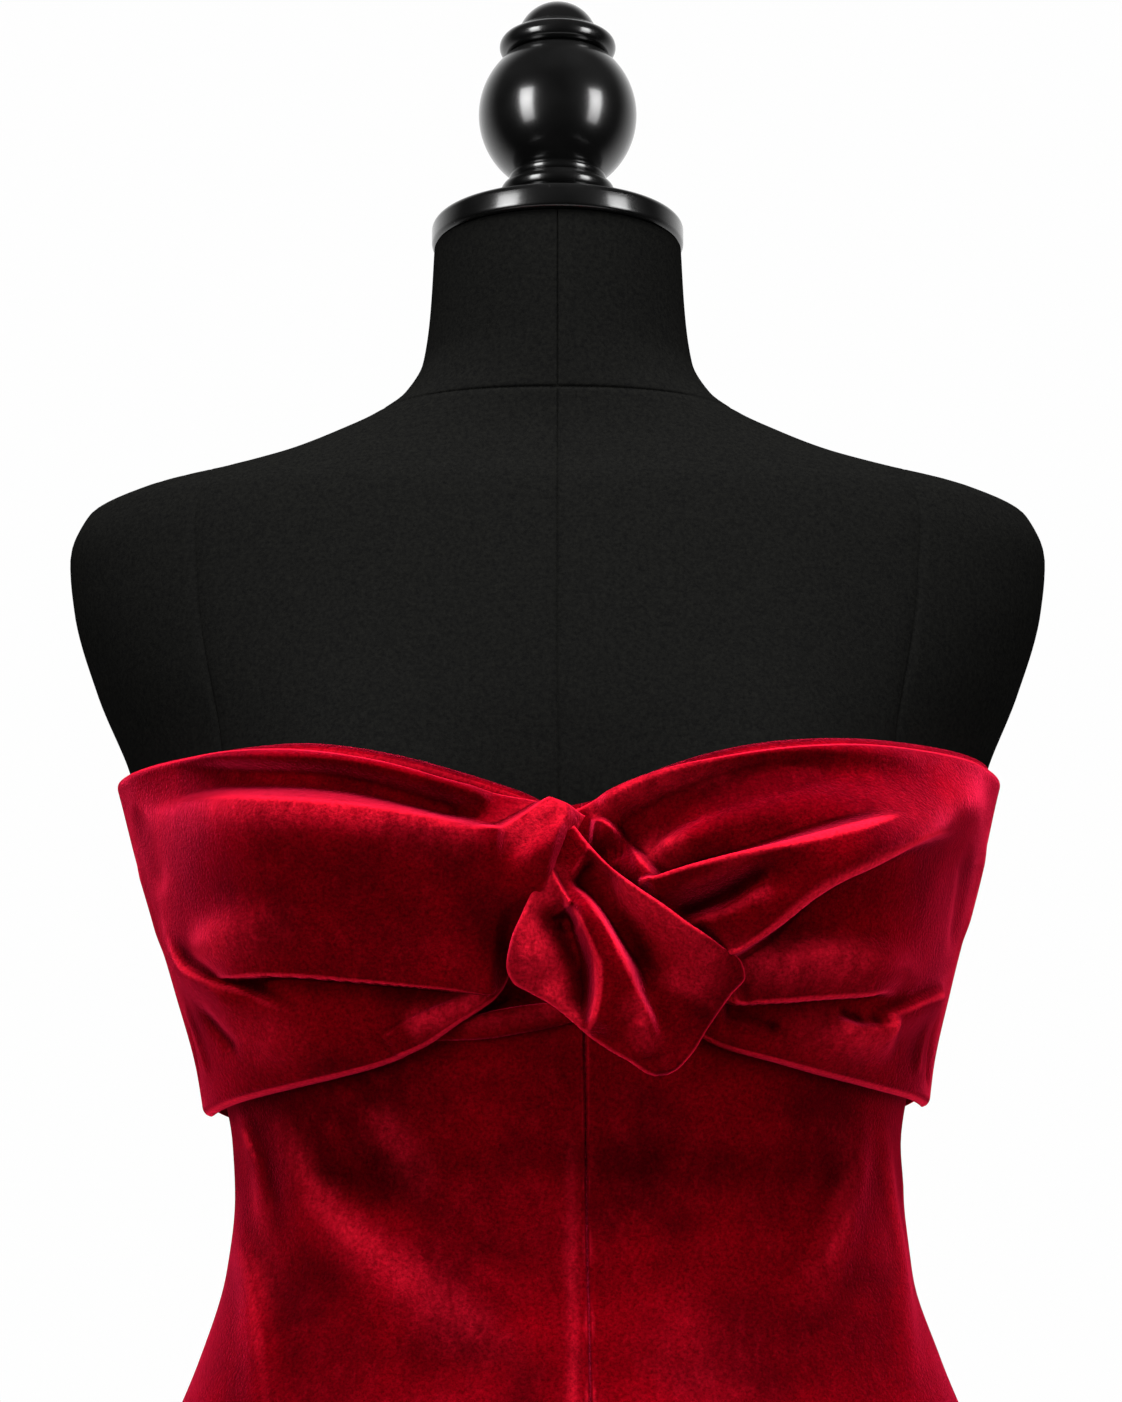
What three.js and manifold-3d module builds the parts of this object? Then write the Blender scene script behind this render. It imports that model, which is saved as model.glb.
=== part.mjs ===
// A strapless velvet mini dress worn by a limbless dress form on a weighted stand.
// Millimetres, +Z up. The front of the dress faces -Y, its own right-hand edge in a front view is +X.
// The origin is on the floor, at the centre of the stand's base.
//
// Every piece of cloth is a wall laid round the form: a point of it is given by its turn round the
// body (0 at the +X side, 90 at the front, 180 at the -X side, 270 at the back), its height above
// the floor, and its lift, the distance outwards from the body's surface.
import * as THREE from "three";
import { mergeVertices } from "three/addons/utils/BufferGeometryUtils.js";
import Module from "manifold-3d";

const wasm = await Module();
wasm.setup();

// ---- driving dimensions ----

const BASE_RADIUS = 165;
const BASE_HEIGHT = 14;
const POLE_RADIUS = 14;
const SOCKET_DEPTH = 24;
const HIP_HEIGHT = 810;
const BOARD_THICKNESS = 14;
const NECK_TOP = 1423;
const CAP_RADIUS = 52.6;
const CAP_THICKNESS = 11;
const FIT_GAP = 0.3;

const CLOTH = 1.4;
const BAND_CLOTH = 1.8;
const WEAR_GAP = 0.9;
const LAYER_GAP = 0.5;
const SEAM_GAP = 0.3;
const HEM_HEIGHT = 598;
const MM_PER_DEGREE = 2.05;

// Where the seams run, in degrees of turn: the side seams sit just behind the widest line.
const RIGHT_SIDE = -5;
const CENTRE_FRONT = 86;
const LEFT_SIDE = 185;
const CENTRE_BACK = 270;

// ---- the body: horizontal sections of the form, wide egg shapes ----
// columns: height, half width, depth in front, depth behind, squareness of the section, and how
// far the section stands off the pole's axis, because the form leans a little to +X at the waist

const BODY_COLUMNS = ["z", "width", "front", "back", "square", "shift"];
const UPPER_BODY = [
  [1424, 51.5, 50, 52, 2.0, 0],
  [1395, 53, 53, 54, 2.0, 0],
  [1372, 56, 55, 58, 2.0, 0],
  [1356, 65, 57, 64, 2.05, 0],
  [1345, 80, 59, 69, 2.1, 0],
  [1336, 99, 61, 74, 2.15, 0],
  [1327, 122, 64, 79, 2.2, 0],
  [1319, 150, 68, 84, 2.25, 0],
  [1312, 177, 72, 88, 2.3, 0],
  [1303, 193, 78, 93, 2.35, 0],
  [1286, 199, 85, 99, 2.4, 0],
  [1264, 196.5, 93, 104, 2.4, 0],
  [1230, 186, 104, 109, 2.4, 0],
  [1198, 172.5, 112, 109, 2.35, 0.3],
  [1156, 161, 116, 105, 2.3, 1],
  [1110, 146, 110, 98, 2.25, 2],
  [1075, 134.5, 103, 93, 2.2, 3],
  [1050, 129.5, 98, 90, 2.15, 3.6],
  [1028, 128.5, 95, 89, 2.1, 4],
  [1000, 131.5, 95, 92, 2.1, 4.4],
  [966, 142, 98, 101, 2.1, 5],
];
const FORM_HIPS = [
  [940, 149.5, 101, 109, 2.1, 5],
  [900, 160, 105, 121, 2.15, 4],
  [850, 169, 109, 129, 2.2, 2],
  [HIP_HEIGHT, 171, 110, 131, 2.2, 0],
];
const SKIRT = [
  [940, 152.5, 103, 111, 2.1, 5],
  [900, 169, 112, 130, 2.1, 4.5],
  [850, 188, 126, 148, 2.1, 3.5],
  [800, 206, 139, 160, 2.1, 2.5],
  [750, 222, 151, 171, 2.1, 1.5],
  [700, 236, 161, 181, 2.1, 0.5],
  [650, 248, 170, 190, 2.1, 0],
  [HEM_HEIGHT, 258, 178, 197, 2.1, 0],
];

// The two rounded cups of the bust, added to the front of the sections. The dress bridges them a
// little fuller than the form.
const BUST = { apart: 168, z: 1146, ofDress: 24, ofForm: 21.5, wide: 48, above: 58, below: 40 };

// Soft flutes of the skirt, which grow from the hip to the hem.
// columns: turn, half width in degrees, height at the hem
const FLUTE_COLUMNS = ["turn", "wide", "high"];
const FLUTES = [
  [-15, 9, 15],
  [0, 7, -8],
  [17, 10, 9],
  [44, 11, -6],
  [66, 11, 9],
  [88, 9, -5],
  [110, 12, 10],
  [136, 11, -6],
  [162, 10, 9],
  [180, 7, -8],
  [195, 9, 15],
  [222, 13, -7],
  [246, 12, 11],
  [270, 9, -6],
  [296, 13, 12],
  [322, 11, -7],
];
const FLUTES_START = 1000;

// ---- outlines of the cloth ----

// Top edge of the dress, a shallow sweetheart. columns: turn, z
const NECKLINE_COLUMNS = ["turn", "z"];
const NECKLINE = [
  [-90, 1176],
  [-60, 1180],
  [-25, 1191],
  [0, 1197],
  [15, 1196],
  [35, 1193],
  [50, 1188],
  [62, 1182.5],
  [75, 1173.5],
  [84, 1164.5],
  [90, 1162.5],
  [97, 1168],
  [108, 1175],
  [122, 1182.5],
  [136, 1188],
  [155, 1190.5],
  [170, 1193],
  [180, 1196],
  [205, 1190],
  [240, 1180],
  [270, 1176],
];

// The folded bands that cross the bust and their tied ends, each as ribs across the strip.
// columns: turn and z of the rib's upper end, turn and z of its lower end
const RIB_COLUMNS = ["turnTop", "zTop", "turnLow", "zLow"];
const BAND_LEFT_RIBS = [
  [LEFT_SIDE, 1194, LEFT_SIDE, 1065],
  [168, 1191, 169, 1059],
  [150, 1188.5, 152, 1060.5],
  [135, 1184, 138, 1063.5],
  [122, 1176.5, 127, 1067.5],
  [111, 1169.5, 118, 1073.5],
  [102, 1165.5, 110, 1083],
  [93, 1162, 103.5, 1091],
  [85.5, 1156, 100, 1098],
];
const BAND_RIGHT_RIBS = [
  [RIGHT_SIDE, 1195, RIGHT_SIDE, 1070],
  [10, 1193, 10, 1063],
  [25, 1191.5, 24, 1063],
  [40, 1188, 38, 1065.5],
  [52, 1183, 49, 1069.5],
  [62, 1177.5, 60, 1075],
  [71, 1173, 68, 1084],
  [79, 1167.5, 76, 1098],
  [86, 1160, 83, 1112],
];
const BAND_BACK_LEFT_RIBS = [
  [CENTRE_BACK, 1173, CENTRE_BACK, 1064],
  [242, 1177, 242, 1063],
  [213, 1186, 213, 1062],
  [LEFT_SIDE, 1194, LEFT_SIDE, 1065],
];
const BAND_BACK_RIGHT_RIBS = [
  [RIGHT_SIDE, 1195, RIGHT_SIDE, 1070],
  [-33, 1186, -33, 1064],
  [-62, 1177, -62, 1063],
  [CENTRE_BACK - 360, 1173, CENTRE_BACK - 360, 1064],
];
// The tail hangs from under the knot to a blunt point; its ribs run from its right to its left edge.
const TAIL_RIBS = [
  [85.5, 1151, 97, 1120],
  [80.5, 1138, 100, 1109],
  [75, 1129, 100.7, 1100],
  [68, 1118.5, 99, 1094],
  [60.5, 1105, 94, 1089],
  [58, 1098, 88, 1081],
  [61.5, 1087, 81.5, 1071.5],
  [68.5, 1066, 75.5, 1062.5],
];
// The other tied end, a narrow strip that crosses below the knot and goes behind the tail.
const STRIP_RIBS = [
  [114, 1081, 114, 1077],
  [107, 1086, 108, 1078],
  [99, 1089, 100, 1079],
  [91, 1090.5, 92, 1080.5],
  [86.5, 1091, 87, 1082],
];

// Large folds. columns: turn and z where the fold starts, turn and z where it ends, height, width
const FOLD_COLUMNS = ["turn0", "z0", "turn1", "z1", "high", "wide"];
const LEFT_FOLDS = [
  [140, 1161, 103, 1148, 5, 11],
  [150, 1106, 101, 1099, -4, 8],
  [128, 1082, 103, 1112, 5, 11],
];
const RIGHT_FOLDS = [
  [75, 1128, 28, 1170, 7, 8],
  [70, 1150, 45, 1166, 4, 8],
  [58, 1104, 32, 1150, 4, 9],
  [60, 1094, 30, 1098, -3, 7],
];
const TAIL_FOLDS = [
  [92, 1138, 71, 1069, 10, 7],
  [96, 1110, 92, 1092, 4, 8],
];

// ---- finishes ----

const VELVET = { color: 0x8f0018, roughness: 0.75, metalness: 0 };
const JERSEY = { color: 0x161616, roughness: 0.9, metalness: 0 };
const LACQUER = { color: 0x050505, roughness: 0.12, metalness: 0 };
const BOARD = { color: 0x3a2a1e, roughness: 0.6, metalness: 0 };
const STEEL = { color: 0x9a9a9a, roughness: 0.3, metalness: 1 };

// ---- helpers ----

const named = (columns, rows) =>
  rows.map((row) => Object.fromEntries(columns.map((column, i) => [column, row[i]])));

const smooth = (t) => {
  const s = THREE.MathUtils.clamp(t, 0, 1);
  return s * s * (3 - 2 * s);
};

// The value of one column of a table at a place along its first column, on a smooth curve that
// never swings past its rows.
function along(rows, key, at, column) {
  const last = rows.length - 1;
  const place = THREE.MathUtils.clamp(at, rows[0][key], rows[last][key]);
  let i = 0;
  while (i < last - 1 && rows[i + 1][key] <= place) i += 1;
  const step = (k) => (rows[k + 1][column] - rows[k][column]) / (rows[k + 1][key] - rows[k][key]);
  const slope = (k) => {
    if (k === 0) return step(0);
    if (k === last) return step(last - 1);
    const product = step(k - 1) * step(k);
    return product <= 0 ? 0 : (2 * product) / (step(k - 1) + step(k));
  };
  const span = rows[i + 1][key] - rows[i][key];
  const s = (place - rows[i][key]) / span;
  const rise = 3 * s * s - 2 * s * s * s;
  const start = slope(i) * span * (s - 2 * s * s + s * s * s);
  const end = slope(i + 1) * span * (s * s * s - s * s);
  return rows[i][column] * (1 - rise) + rows[i + 1][column] * rise + start + end;
}

const byHeight = (rows) => named(BODY_COLUMNS, rows).sort((a, b) => a.z - b.z);
const FORM_BODY = byHeight([...UPPER_BODY, ...FORM_HIPS]);
const DRESS_BODY = byHeight([...UPPER_BODY, ...SKIRT]);
const FLUTE_ROWS = named(FLUTE_COLUMNS, FLUTES);
const NECK_ROWS = named(NECKLINE_COLUMNS, NECKLINE);

function bustDepth(body, x, z) {
  const tall = z > BUST.z ? BUST.above : BUST.below;
  const cup = (centre) => Math.exp(-(((x - centre) / BUST.wide) ** 2) - ((z - BUST.z) / tall) ** 2);
  const depth = body === DRESS_BODY ? BUST.ofDress : BUST.ofForm;
  return depth * (cup(BUST.apart / 2) + cup(-BUST.apart / 2));
}

function fluteHeight(turn, z) {
  const grown = smooth((FLUTES_START - z) / (FLUTES_START - HEM_HEIGHT));
  if (grown === 0) return 0;
  let sum = 0;
  for (const flute of FLUTE_ROWS) {
    const apart = ((((turn - flute.turn + 180) % 360) + 360) % 360) - 180;
    sum += flute.high * Math.exp(-((apart / flute.wide) ** 2));
  }
  return sum * grown;
}

// A point on the body's surface, before any lift.
function surface(body, turn, z) {
  const section = (column) => along(body, "z", z, column);
  const angle = THREE.MathUtils.degToRad(turn);
  const c = Math.cos(angle);
  const s = Math.sin(angle);
  const depth = s >= 0 ? section("front") : section("back");
  const power = section("square");
  const flute = body === DRESS_BODY ? fluteHeight(turn, z) : 0;
  const reach = (Math.abs(c / section("width")) ** power + Math.abs(s / depth) ** power) ** (-1 / power);
  const x = (reach + flute) * c;
  const cup = s > 0 ? bustDepth(body, x, z) * Math.min(1, 3 * s) : 0;
  return new THREE.Vector2(x + section("shift"), -(reach + flute) * s - cup);
}

// A point at a given lift, moved out along the section's own normal.
function onBody(body, turn, z, lift) {
  const here = surface(body, turn, z);
  const way = surface(body, turn + 0.1, z).sub(surface(body, turn - 0.1, z));
  const out = new THREE.Vector2(-way.y, way.x).normalize();
  if (out.dot(here) < 0) out.negate();
  return new THREE.Vector3(here.x + out.x * lift, here.y + out.y * lift, z);
}

// A closed wall between an outer and an inner sheet of points, given by functions of u and v.
function wall(name, finish, columns, rows, outer, inner) {
  const positions = [];
  const index = [];
  for (const sheet of [outer, inner])
    for (let j = 0; j <= rows; j += 1)
      for (let i = 0; i <= columns; i += 1) positions.push(...sheet(i / columns, j / rows).toArray());
  const wide = columns + 1;
  const inside = wide * (rows + 1);
  const quad = (a, b, c, d) => index.push(a, b, c, a, c, d);
  for (let j = 0; j < rows; j += 1)
    for (let i = 0; i < columns; i += 1) {
      const a = j * wide + i;
      quad(a, a + 1, a + wide + 1, a + wide);
      quad(inside + a, inside + a + wide, inside + a + wide + 1, inside + a + 1);
    }
  for (let i = 0; i < columns; i += 1) {
    const top = rows * wide + i;
    quad(i, inside + i, inside + i + 1, i + 1);
    quad(top, top + 1, inside + top + 1, inside + top);
  }
  for (let j = 0; j < rows; j += 1) {
    const first = j * wide;
    const end = first + columns;
    quad(first, first + wide, inside + first + wide, inside + first);
    quad(end, inside + end, inside + end + wide, end + wide);
  }
  const geometry = new THREE.BufferGeometry();
  geometry.setAttribute("position", new THREE.Float32BufferAttribute(positions, 3));
  geometry.setIndex(index);
  return solid(name, finish, facingOut(geometry));
}

// The grid's winding depends on which way its columns run, so an inside-out wall is turned round.
function facingOut(geometry) {
  const place = geometry.getAttribute("position");
  const corners = geometry.getIndex().array;
  const corner = (k) => new THREE.Vector3().fromBufferAttribute(place, corners[k]);
  let volume = 0;
  for (let k = 0; k < corners.length; k += 3) volume += corner(k).dot(corner(k + 1).cross(corner(k + 2)));
  if (volume < 0)
    for (let k = 0; k < corners.length; k += 3) [corners[k], corners[k + 1]] = [corners[k + 1], corners[k]];
  return geometry;
}

function solid(name, finish, geometry) {
  geometry.computeVertexNormals();
  const mesh = new THREE.Mesh(geometry, new THREE.MeshStandardMaterial(finish));
  mesh.name = name;
  return mesh;
}

// Half a seam's gap, as an angle at this place on the body.
function seamAngle(body, turn, z) {
  return THREE.MathUtils.radToDeg(SEAM_GAP / 2 / surface(body, turn, z).length());
}

// ---- the dress: four full-length panels, hem to neckline ----

const SKIRT_ROWS = 9;
const BODICE_ROWS = 15;

function panel(name, from, to, columns) {
  const rows = SKIRT_ROWS + BODICE_ROWS;
  const place = (u, v, lift) => {
    const roughTurn = THREE.MathUtils.lerp(from, to, u);
    const top = along(NECK_ROWS, "turn", roughTurn > 270 ? roughTurn - 360 : roughTurn, "z");
    const row = v * rows - SKIRT_ROWS;
    const upper = THREE.MathUtils.lerp(FLUTES_START, top, row / BODICE_ROWS);
    const z = row < 0 ? THREE.MathUtils.lerp(FLUTES_START, HEM_HEIGHT, -row / SKIRT_ROWS) : upper;
    const gap = seamAngle(DRESS_BODY, roughTurn, z);
    return onBody(DRESS_BODY, THREE.MathUtils.lerp(from + gap, to - gap, u), z, lift);
  };
  return wall(
    name,
    VELVET,
    columns,
    rows,
    (u, v) => place(u, v, WEAR_GAP + CLOTH),
    (u, v) => place(u, v, WEAR_GAP),
  );
}

// ---- the bands and their tied ends ----

function foldHeight(folds, turn, z) {
  let sum = 0;
  for (const fold of folds) {
    const start = new THREE.Vector2(fold.turn0 * MM_PER_DEGREE, fold.z0);
    const way = new THREE.Vector2(fold.turn1 * MM_PER_DEGREE, fold.z1).sub(start);
    const here = new THREE.Vector2(turn * MM_PER_DEGREE, z).sub(start);
    const share = here.dot(way) / way.lengthSq();
    const away = Math.abs(here.cross(way)) / way.length();
    const ends = smooth((share + 0.1) / 0.25) * smooth((1.1 - share) / 0.35);
    sum += fold.high * Math.exp(-((away / fold.wide) ** 2)) * ends;
  }
  return sum;
}

// How far the lower part of a band stands off the body: it drops from the bust without nipping
// in to the waist, most of all at the sides and back.
function standOff(turn, z) {
  const low = THREE.MathUtils.clamp((1160 - z) / 100, 0, 1) ** 1.7;
  const side = 0.35 + 0.65 * Math.abs(Math.cos(THREE.MathUtils.degToRad(turn))) ** 1.2;
  const back = Math.sin(THREE.MathUtils.degToRad(turn)) < 0 ? 1 : side;
  return 6 * low * Math.max(side, back * 0.8);
}

const BAND_UNDER = WEAR_GAP + CLOTH + LAYER_GAP;
const TAIL_CLEARANCE = 5.5;
const KNOT_CLIMB = 20.8;
const LEFT_FOLD_ROWS = named(FOLD_COLUMNS, LEFT_FOLDS);
const RIGHT_FOLD_ROWS = named(FOLD_COLUMNS, RIGHT_FOLDS);
const TAIL_FOLD_ROWS = named(FOLD_COLUMNS, TAIL_FOLDS);

// The left band climbs over the knot: it rises towards its end and rolls under at the edge.
function leftLift(u, v, turn, z) {
  const climb = KNOT_CLIMB * smooth((116 - turn) / 20);
  const roll = 5 * smooth((u - 0.93) / 0.07) + 5 * smooth((v - 0.85) / 0.15) * smooth((112 - turn) / 20);
  const lift = standOff(turn, z) + foldHeight(LEFT_FOLD_ROWS, turn, z) + climb - roll;
  return BAND_UNDER + Math.max(0, lift);
}

function rightLift(u, v, turn, z) {
  const underKnot = smooth((84 - turn) / 10);
  const lift = standOff(turn, z) * (1 - smooth((turn - 50) / 14)) + foldHeight(RIGHT_FOLD_ROWS, turn, z);
  return BAND_UNDER + Math.max(0, lift * underKnot);
}

function backLift(u, v, turn, z) {
  return BAND_UNDER + standOff(turn, z);
}

// The tail lies on the right band, with one high fold down its middle.
function tailLift(u, v, turn, z) {
  return BAND_UNDER + BAND_CLOTH + TAIL_CLEARANCE + Math.max(0, foldHeight(TAIL_FOLD_ROWS, turn, z));
}

function stripLift() {
  return BAND_UNDER;
}

// A strip of cloth across its ribs. The first and last rib may stop half a gap short, at a seam.
function strip(name, ribs, columns, rows, liftAt, seams = [false, false]) {
  const table = named(RIB_COLUMNS, ribs).map((rib, i) => ({ ...rib, at: i / (ribs.length - 1) }));
  const place = (u, v, cloth) => {
    const rib = (column) => along(table, "at", u, column);
    const z = THREE.MathUtils.lerp(rib("zLow"), rib("zTop"), v);
    const turn = THREE.MathUtils.lerp(rib("turnLow"), rib("turnTop"), v);
    const lift = liftAt(u, v, turn, z) + cloth;
    const gap = seamAngle(DRESS_BODY, turn, z) * Math.sign(ribs.at(-1)[0] - ribs[0][0]);
    const short = seams[0] && u === 0 ? gap : seams[1] && u === 1 ? -gap : 0;
    return onBody(DRESS_BODY, turn + short, z, lift);
  };
  return wall(
    name,
    VELVET,
    columns,
    rows,
    (u, v) => place(u, v, BAND_CLOTH),
    (u, v) => place(u, v, 0),
  );
}

// ---- the form and its stand ----

const TORSO_SIDES = 40;
const BOARD_SIDES = 44;
const BOARD_INSET = 6;

function torso() {
  const around = TORSO_SIDES;
  const heights = [HIP_HEIGHT, 850, 900, 940, 966, 985, 1003, 1020, 1036, 1050, 1064, 1080, 1100, 1120];
  heights.push(1138, 1156, 1176, 1197, 1225, 1252, 1275, 1292, 1303, 1311, 1318, 1325, 1333, 1342, 1352);
  heights.push(1363, 1378, NECK_TOP);
  const positions = [];
  const index = [];
  for (const z of heights)
    for (let i = 0; i < around; i += 1)
      positions.push(...onBody(FORM_BODY, (360 * i) / around, z, 0).toArray());
  const bottom = positions.length / 3;
  positions.push(0, 0, HIP_HEIGHT, 0, 0, NECK_TOP);
  const top = (heights.length - 1) * around;
  for (let i = 0; i < around; i += 1) {
    const next = (i + 1) % around;
    for (let j = 0; j < top; j += around)
      index.push(j + i, j + next, j + around + next, j + i, j + around + next, j + around + i);
    index.push(bottom, next, i, bottom + 1, top + i, top + next);
  }
  const geometry = new THREE.BufferGeometry();
  geometry.setAttribute("position", new THREE.Float32BufferAttribute(positions, 3));
  geometry.setIndex(index);
  return solid("form_torso", JERSEY, facingOut(geometry));
}

// A turned piece: the profile lists radius and height, and is spun about the upright axis.
function turned(name, finish, profile, sides) {
  const points = profile.map(([radius, z]) => new THREE.Vector2(radius, z));
  const geometry = new THREE.LatheGeometry(points, sides);
  geometry.rotateX(Math.PI / 2);
  geometry.deleteAttribute("normal");
  geometry.deleteAttribute("uv");
  return solid(name, finish, facingOut(mergeVertices(geometry)));
}

const arc = (radius, z, bulge, from, to, steps) =>
  Array.from({ length: steps + 1 }, (_, i) => {
    const angle = THREE.MathUtils.degToRad(THREE.MathUtils.lerp(from, to, i / steps));
    return [radius + bulge * Math.cos(angle), z + bulge * Math.sin(angle)];
  });

const CAP_BOTTOM = NECK_TOP + FIT_GAP;
const CAP_TOP = CAP_BOTTOM + CAP_THICKNESS;

function neckCap() {
  return turned(
    "neck_cap",
    LACQUER,
    [
      [0, CAP_BOTTOM],
      [CAP_RADIUS - 2, CAP_BOTTOM],
      ...arc(CAP_RADIUS - 2.5, CAP_BOTTOM + 2.5, 2.5, -60, 0, 3),
      ...arc(CAP_RADIUS - 3, CAP_TOP - 3, 3, 0, 90, 4),
      [0, CAP_TOP],
    ],
    32,
  );
}

// A turned ball on two small beads, with a ring and a dome above it.
function finial() {
  const foot = CAP_TOP + FIT_GAP;
  return turned(
    "finial",
    LACQUER,
    [
      [0, foot],
      [28, foot],
      [27, foot + 3],
      [21, foot + 8],
      ...arc(20, foot + 14, 4, -70, 80, 4),
      ...arc(17.5, foot + 20.5, 2.8, -60, 60, 3),
      ...arc(0, foot + 49, 33.3, -55, 52, 9),
      [18.5, foot + 75],
      ...arc(20, foot + 79.5, 4.6, -70, 70, 4),
      ...arc(0, foot + 82, 17.2, 18, 90, 4),
    ],
    24,
  );
}

// A flat piece with an outline and one round hole, extruded upwards.
function pierced(edge, bore, sides) {
  const shape = new THREE.Shape(edge);
  const ring = Array.from({ length: sides }, (_, i) => {
    const angle = (-2 * Math.PI * i) / sides;
    return new THREE.Vector2(bore * Math.cos(angle), bore * Math.sin(angle));
  });
  shape.holes.push(new THREE.Path(ring));
  return shape;
}

function hipBoard() {
  const edge = Array.from({ length: BOARD_SIDES }, (_, i) => {
    const place = onBody(FORM_BODY, (-360 * i) / BOARD_SIDES, HIP_HEIGHT, -BOARD_INSET);
    return new THREE.Vector2(place.x, place.y);
  });
  const geometry = new THREE.ExtrudeGeometry(pierced(edge, POLE_RADIUS + FIT_GAP, 24), {
    depth: BOARD_THICKNESS,
    bevelEnabled: false,
  });
  geometry.translate(0, 0, HIP_HEIGHT - FIT_GAP - BOARD_THICKNESS);
  return solid("hip_board", BOARD, geometry);
}

const SOCKET_FLOOR = 5;
const BOSS_HEIGHT = SOCKET_FLOOR + SOCKET_DEPTH + 6;

function standBase() {
  const bore = POLE_RADIUS + FIT_GAP;
  return turned(
    "stand_base",
    LACQUER,
    [
      [0, 0],
      [BASE_RADIUS - 2, 0],
      [BASE_RADIUS, 2],
      ...arc(BASE_RADIUS - 5, BASE_HEIGHT - 7, 5, 0, 75, 4),
      [60, BASE_HEIGHT + 1],
      [34, BASE_HEIGHT + 4],
      [27, BASE_HEIGHT + 10],
      [25, BOSS_HEIGHT],
      [bore, BOSS_HEIGHT],
      [bore, SOCKET_FLOOR],
      [0, SOCKET_FLOOR],
    ],
    36,
  );
}

function standPole() {
  const top = HIP_HEIGHT - 2 * FIT_GAP;
  const bottom = SOCKET_FLOOR + FIT_GAP;
  return turned(
    "stand_pole",
    STEEL,
    [
      [0, bottom],
      [POLE_RADIUS, bottom],
      [POLE_RADIUS, top],
      [0, top],
    ],
    24,
  );
}

function poleCollar() {
  const bore = POLE_RADIUS + FIT_GAP;
  const top = HIP_HEIGHT - FIT_GAP - BOARD_THICKNESS - FIT_GAP;
  return turned(
    "pole_collar",
    LACQUER,
    [
      [bore, top - 34],
      [21, top - 34],
      [22.5, top - 32],
      [22.5, top - 8],
      [34, top - 5],
      [34, top],
      [bore, top],
      [bore, top - 34],
    ],
    24,
  );
}

// ---- the zip: only its slider and pull tab are hard pieces that show ----

const TAB = { wide: 5, long: 19, thick: 1.1, neckHalf: 1.6, neckLong: 2.4, shoulder: 3 };
const PIN_RADIUS = 0.7;
const SLEEVE_WALL = 0.9;
const EAR = { thick: 1, deep: 3.6, tall: 3, rooted: 1 };
const SLIDER = { wide: 6, tall: 9, deep: 2.4, z: 1150 };
const SLIDER_LIFT = backLift(0, 0, CENTRE_BACK, SLIDER.z) + BAND_CLOTH + FIT_GAP;
const SLIDER_BACK = onBody(DRESS_BODY, CENTRE_BACK, SLIDER.z + SLIDER.tall / 2, SLIDER_LIFT).y;
const PIN_STANDS_OFF = 1.9;
const PIN_ABOVE_MIDDLE = 2;
const PIN = new THREE.Vector3(0, SLIDER_BACK + SLIDER.deep + PIN_STANDS_OFF, SLIDER.z + PIN_ABOVE_MIDDLE);

const solidOf = (geometry) => {
  const bare = geometry.index ? geometry.toNonIndexed() : geometry.clone();
  bare.deleteAttribute("normal");
  bare.deleteAttribute("uv");
  const merged = mergeVertices(bare);
  return new wasm.Manifold(
    new wasm.Mesh({
      numProp: 3,
      vertProperties: merged.getAttribute("position").array,
      triVerts: new Uint32Array(merged.index.array),
    }),
  );
};

function meshOf(name, finish, made) {
  const { vertProperties, triVerts } = made.getMesh();
  const geometry = new THREE.BufferGeometry();
  geometry.setAttribute("position", new THREE.Float32BufferAttribute(vertProperties, 3));
  geometry.setIndex(new THREE.Uint32BufferAttribute(triVerts, 1));
  return solid(name, finish, geometry);
}

// The slider's plate lies on the band and its two ears hold the pin on which the tab hangs.
function zipSlider() {
  const plate = new THREE.BoxGeometry(SLIDER.wide, SLIDER.deep, SLIDER.tall);
  plate.translate(0, SLIDER_BACK + SLIDER.deep / 2, SLIDER.z);
  let made = solidOf(plate);
  for (const side of [-1, 1]) {
    const ear = new THREE.BoxGeometry(EAR.thick, EAR.deep, EAR.tall);
    ear.translate((side * (SLIDER.wide - EAR.thick)) / 2, SLIDER_BACK + SLIDER.deep + EAR.rooted, PIN.z);
    made = made.add(solidOf(ear));
  }
  const pin = new THREE.CylinderGeometry(PIN_RADIUS, PIN_RADIUS, SLIDER.wide - 2 * FIT_GAP, 12);
  pin.rotateZ(Math.PI / 2).translate(PIN.x, PIN.y, PIN.z);
  return meshOf("zip_slider", STEEL, made.add(solidOf(pin)));
}

function zipPull() {
  const half = TAB.neckHalf;
  const eye = TAB.neckLong;
  const outline = new THREE.Shape();
  outline.absarc(0, 0, half, 0, Math.PI, false);
  outline.lineTo(-half, -eye);
  outline.lineTo(-TAB.wide / 2, -eye - TAB.shoulder);
  outline.absarc(0, -TAB.long + TAB.wide / 2, TAB.wide / 2, Math.PI, 2 * Math.PI, false);
  outline.lineTo(half, -eye);
  const leaf = new THREE.ExtrudeGeometry(outline, {
    depth: TAB.thick,
    bevelEnabled: false,
    curveSegments: 8,
  });
  leaf.translate(0, 0, -TAB.thick / 2).rotateX(Math.PI / 2);
  leaf.translate(PIN.x, PIN.y, PIN.z);
  const sleeve = new THREE.CylinderGeometry(PIN_RADIUS + SLEEVE_WALL, PIN_RADIUS + SLEEVE_WALL, 2 * half, 12);
  sleeve.rotateZ(Math.PI / 2).translate(PIN.x, PIN.y, PIN.z);
  const bore = new THREE.CylinderGeometry(PIN_RADIUS + FIT_GAP, PIN_RADIUS + FIT_GAP, 2 * half + 1, 12);
  bore.rotateZ(Math.PI / 2).translate(PIN.x, PIN.y, PIN.z);
  const made = solidOf(leaf).add(solidOf(sleeve)).subtract(solidOf(bore));
  return meshOf("zip_pull", STEEL, made);
}

// ---- the whole ----

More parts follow.
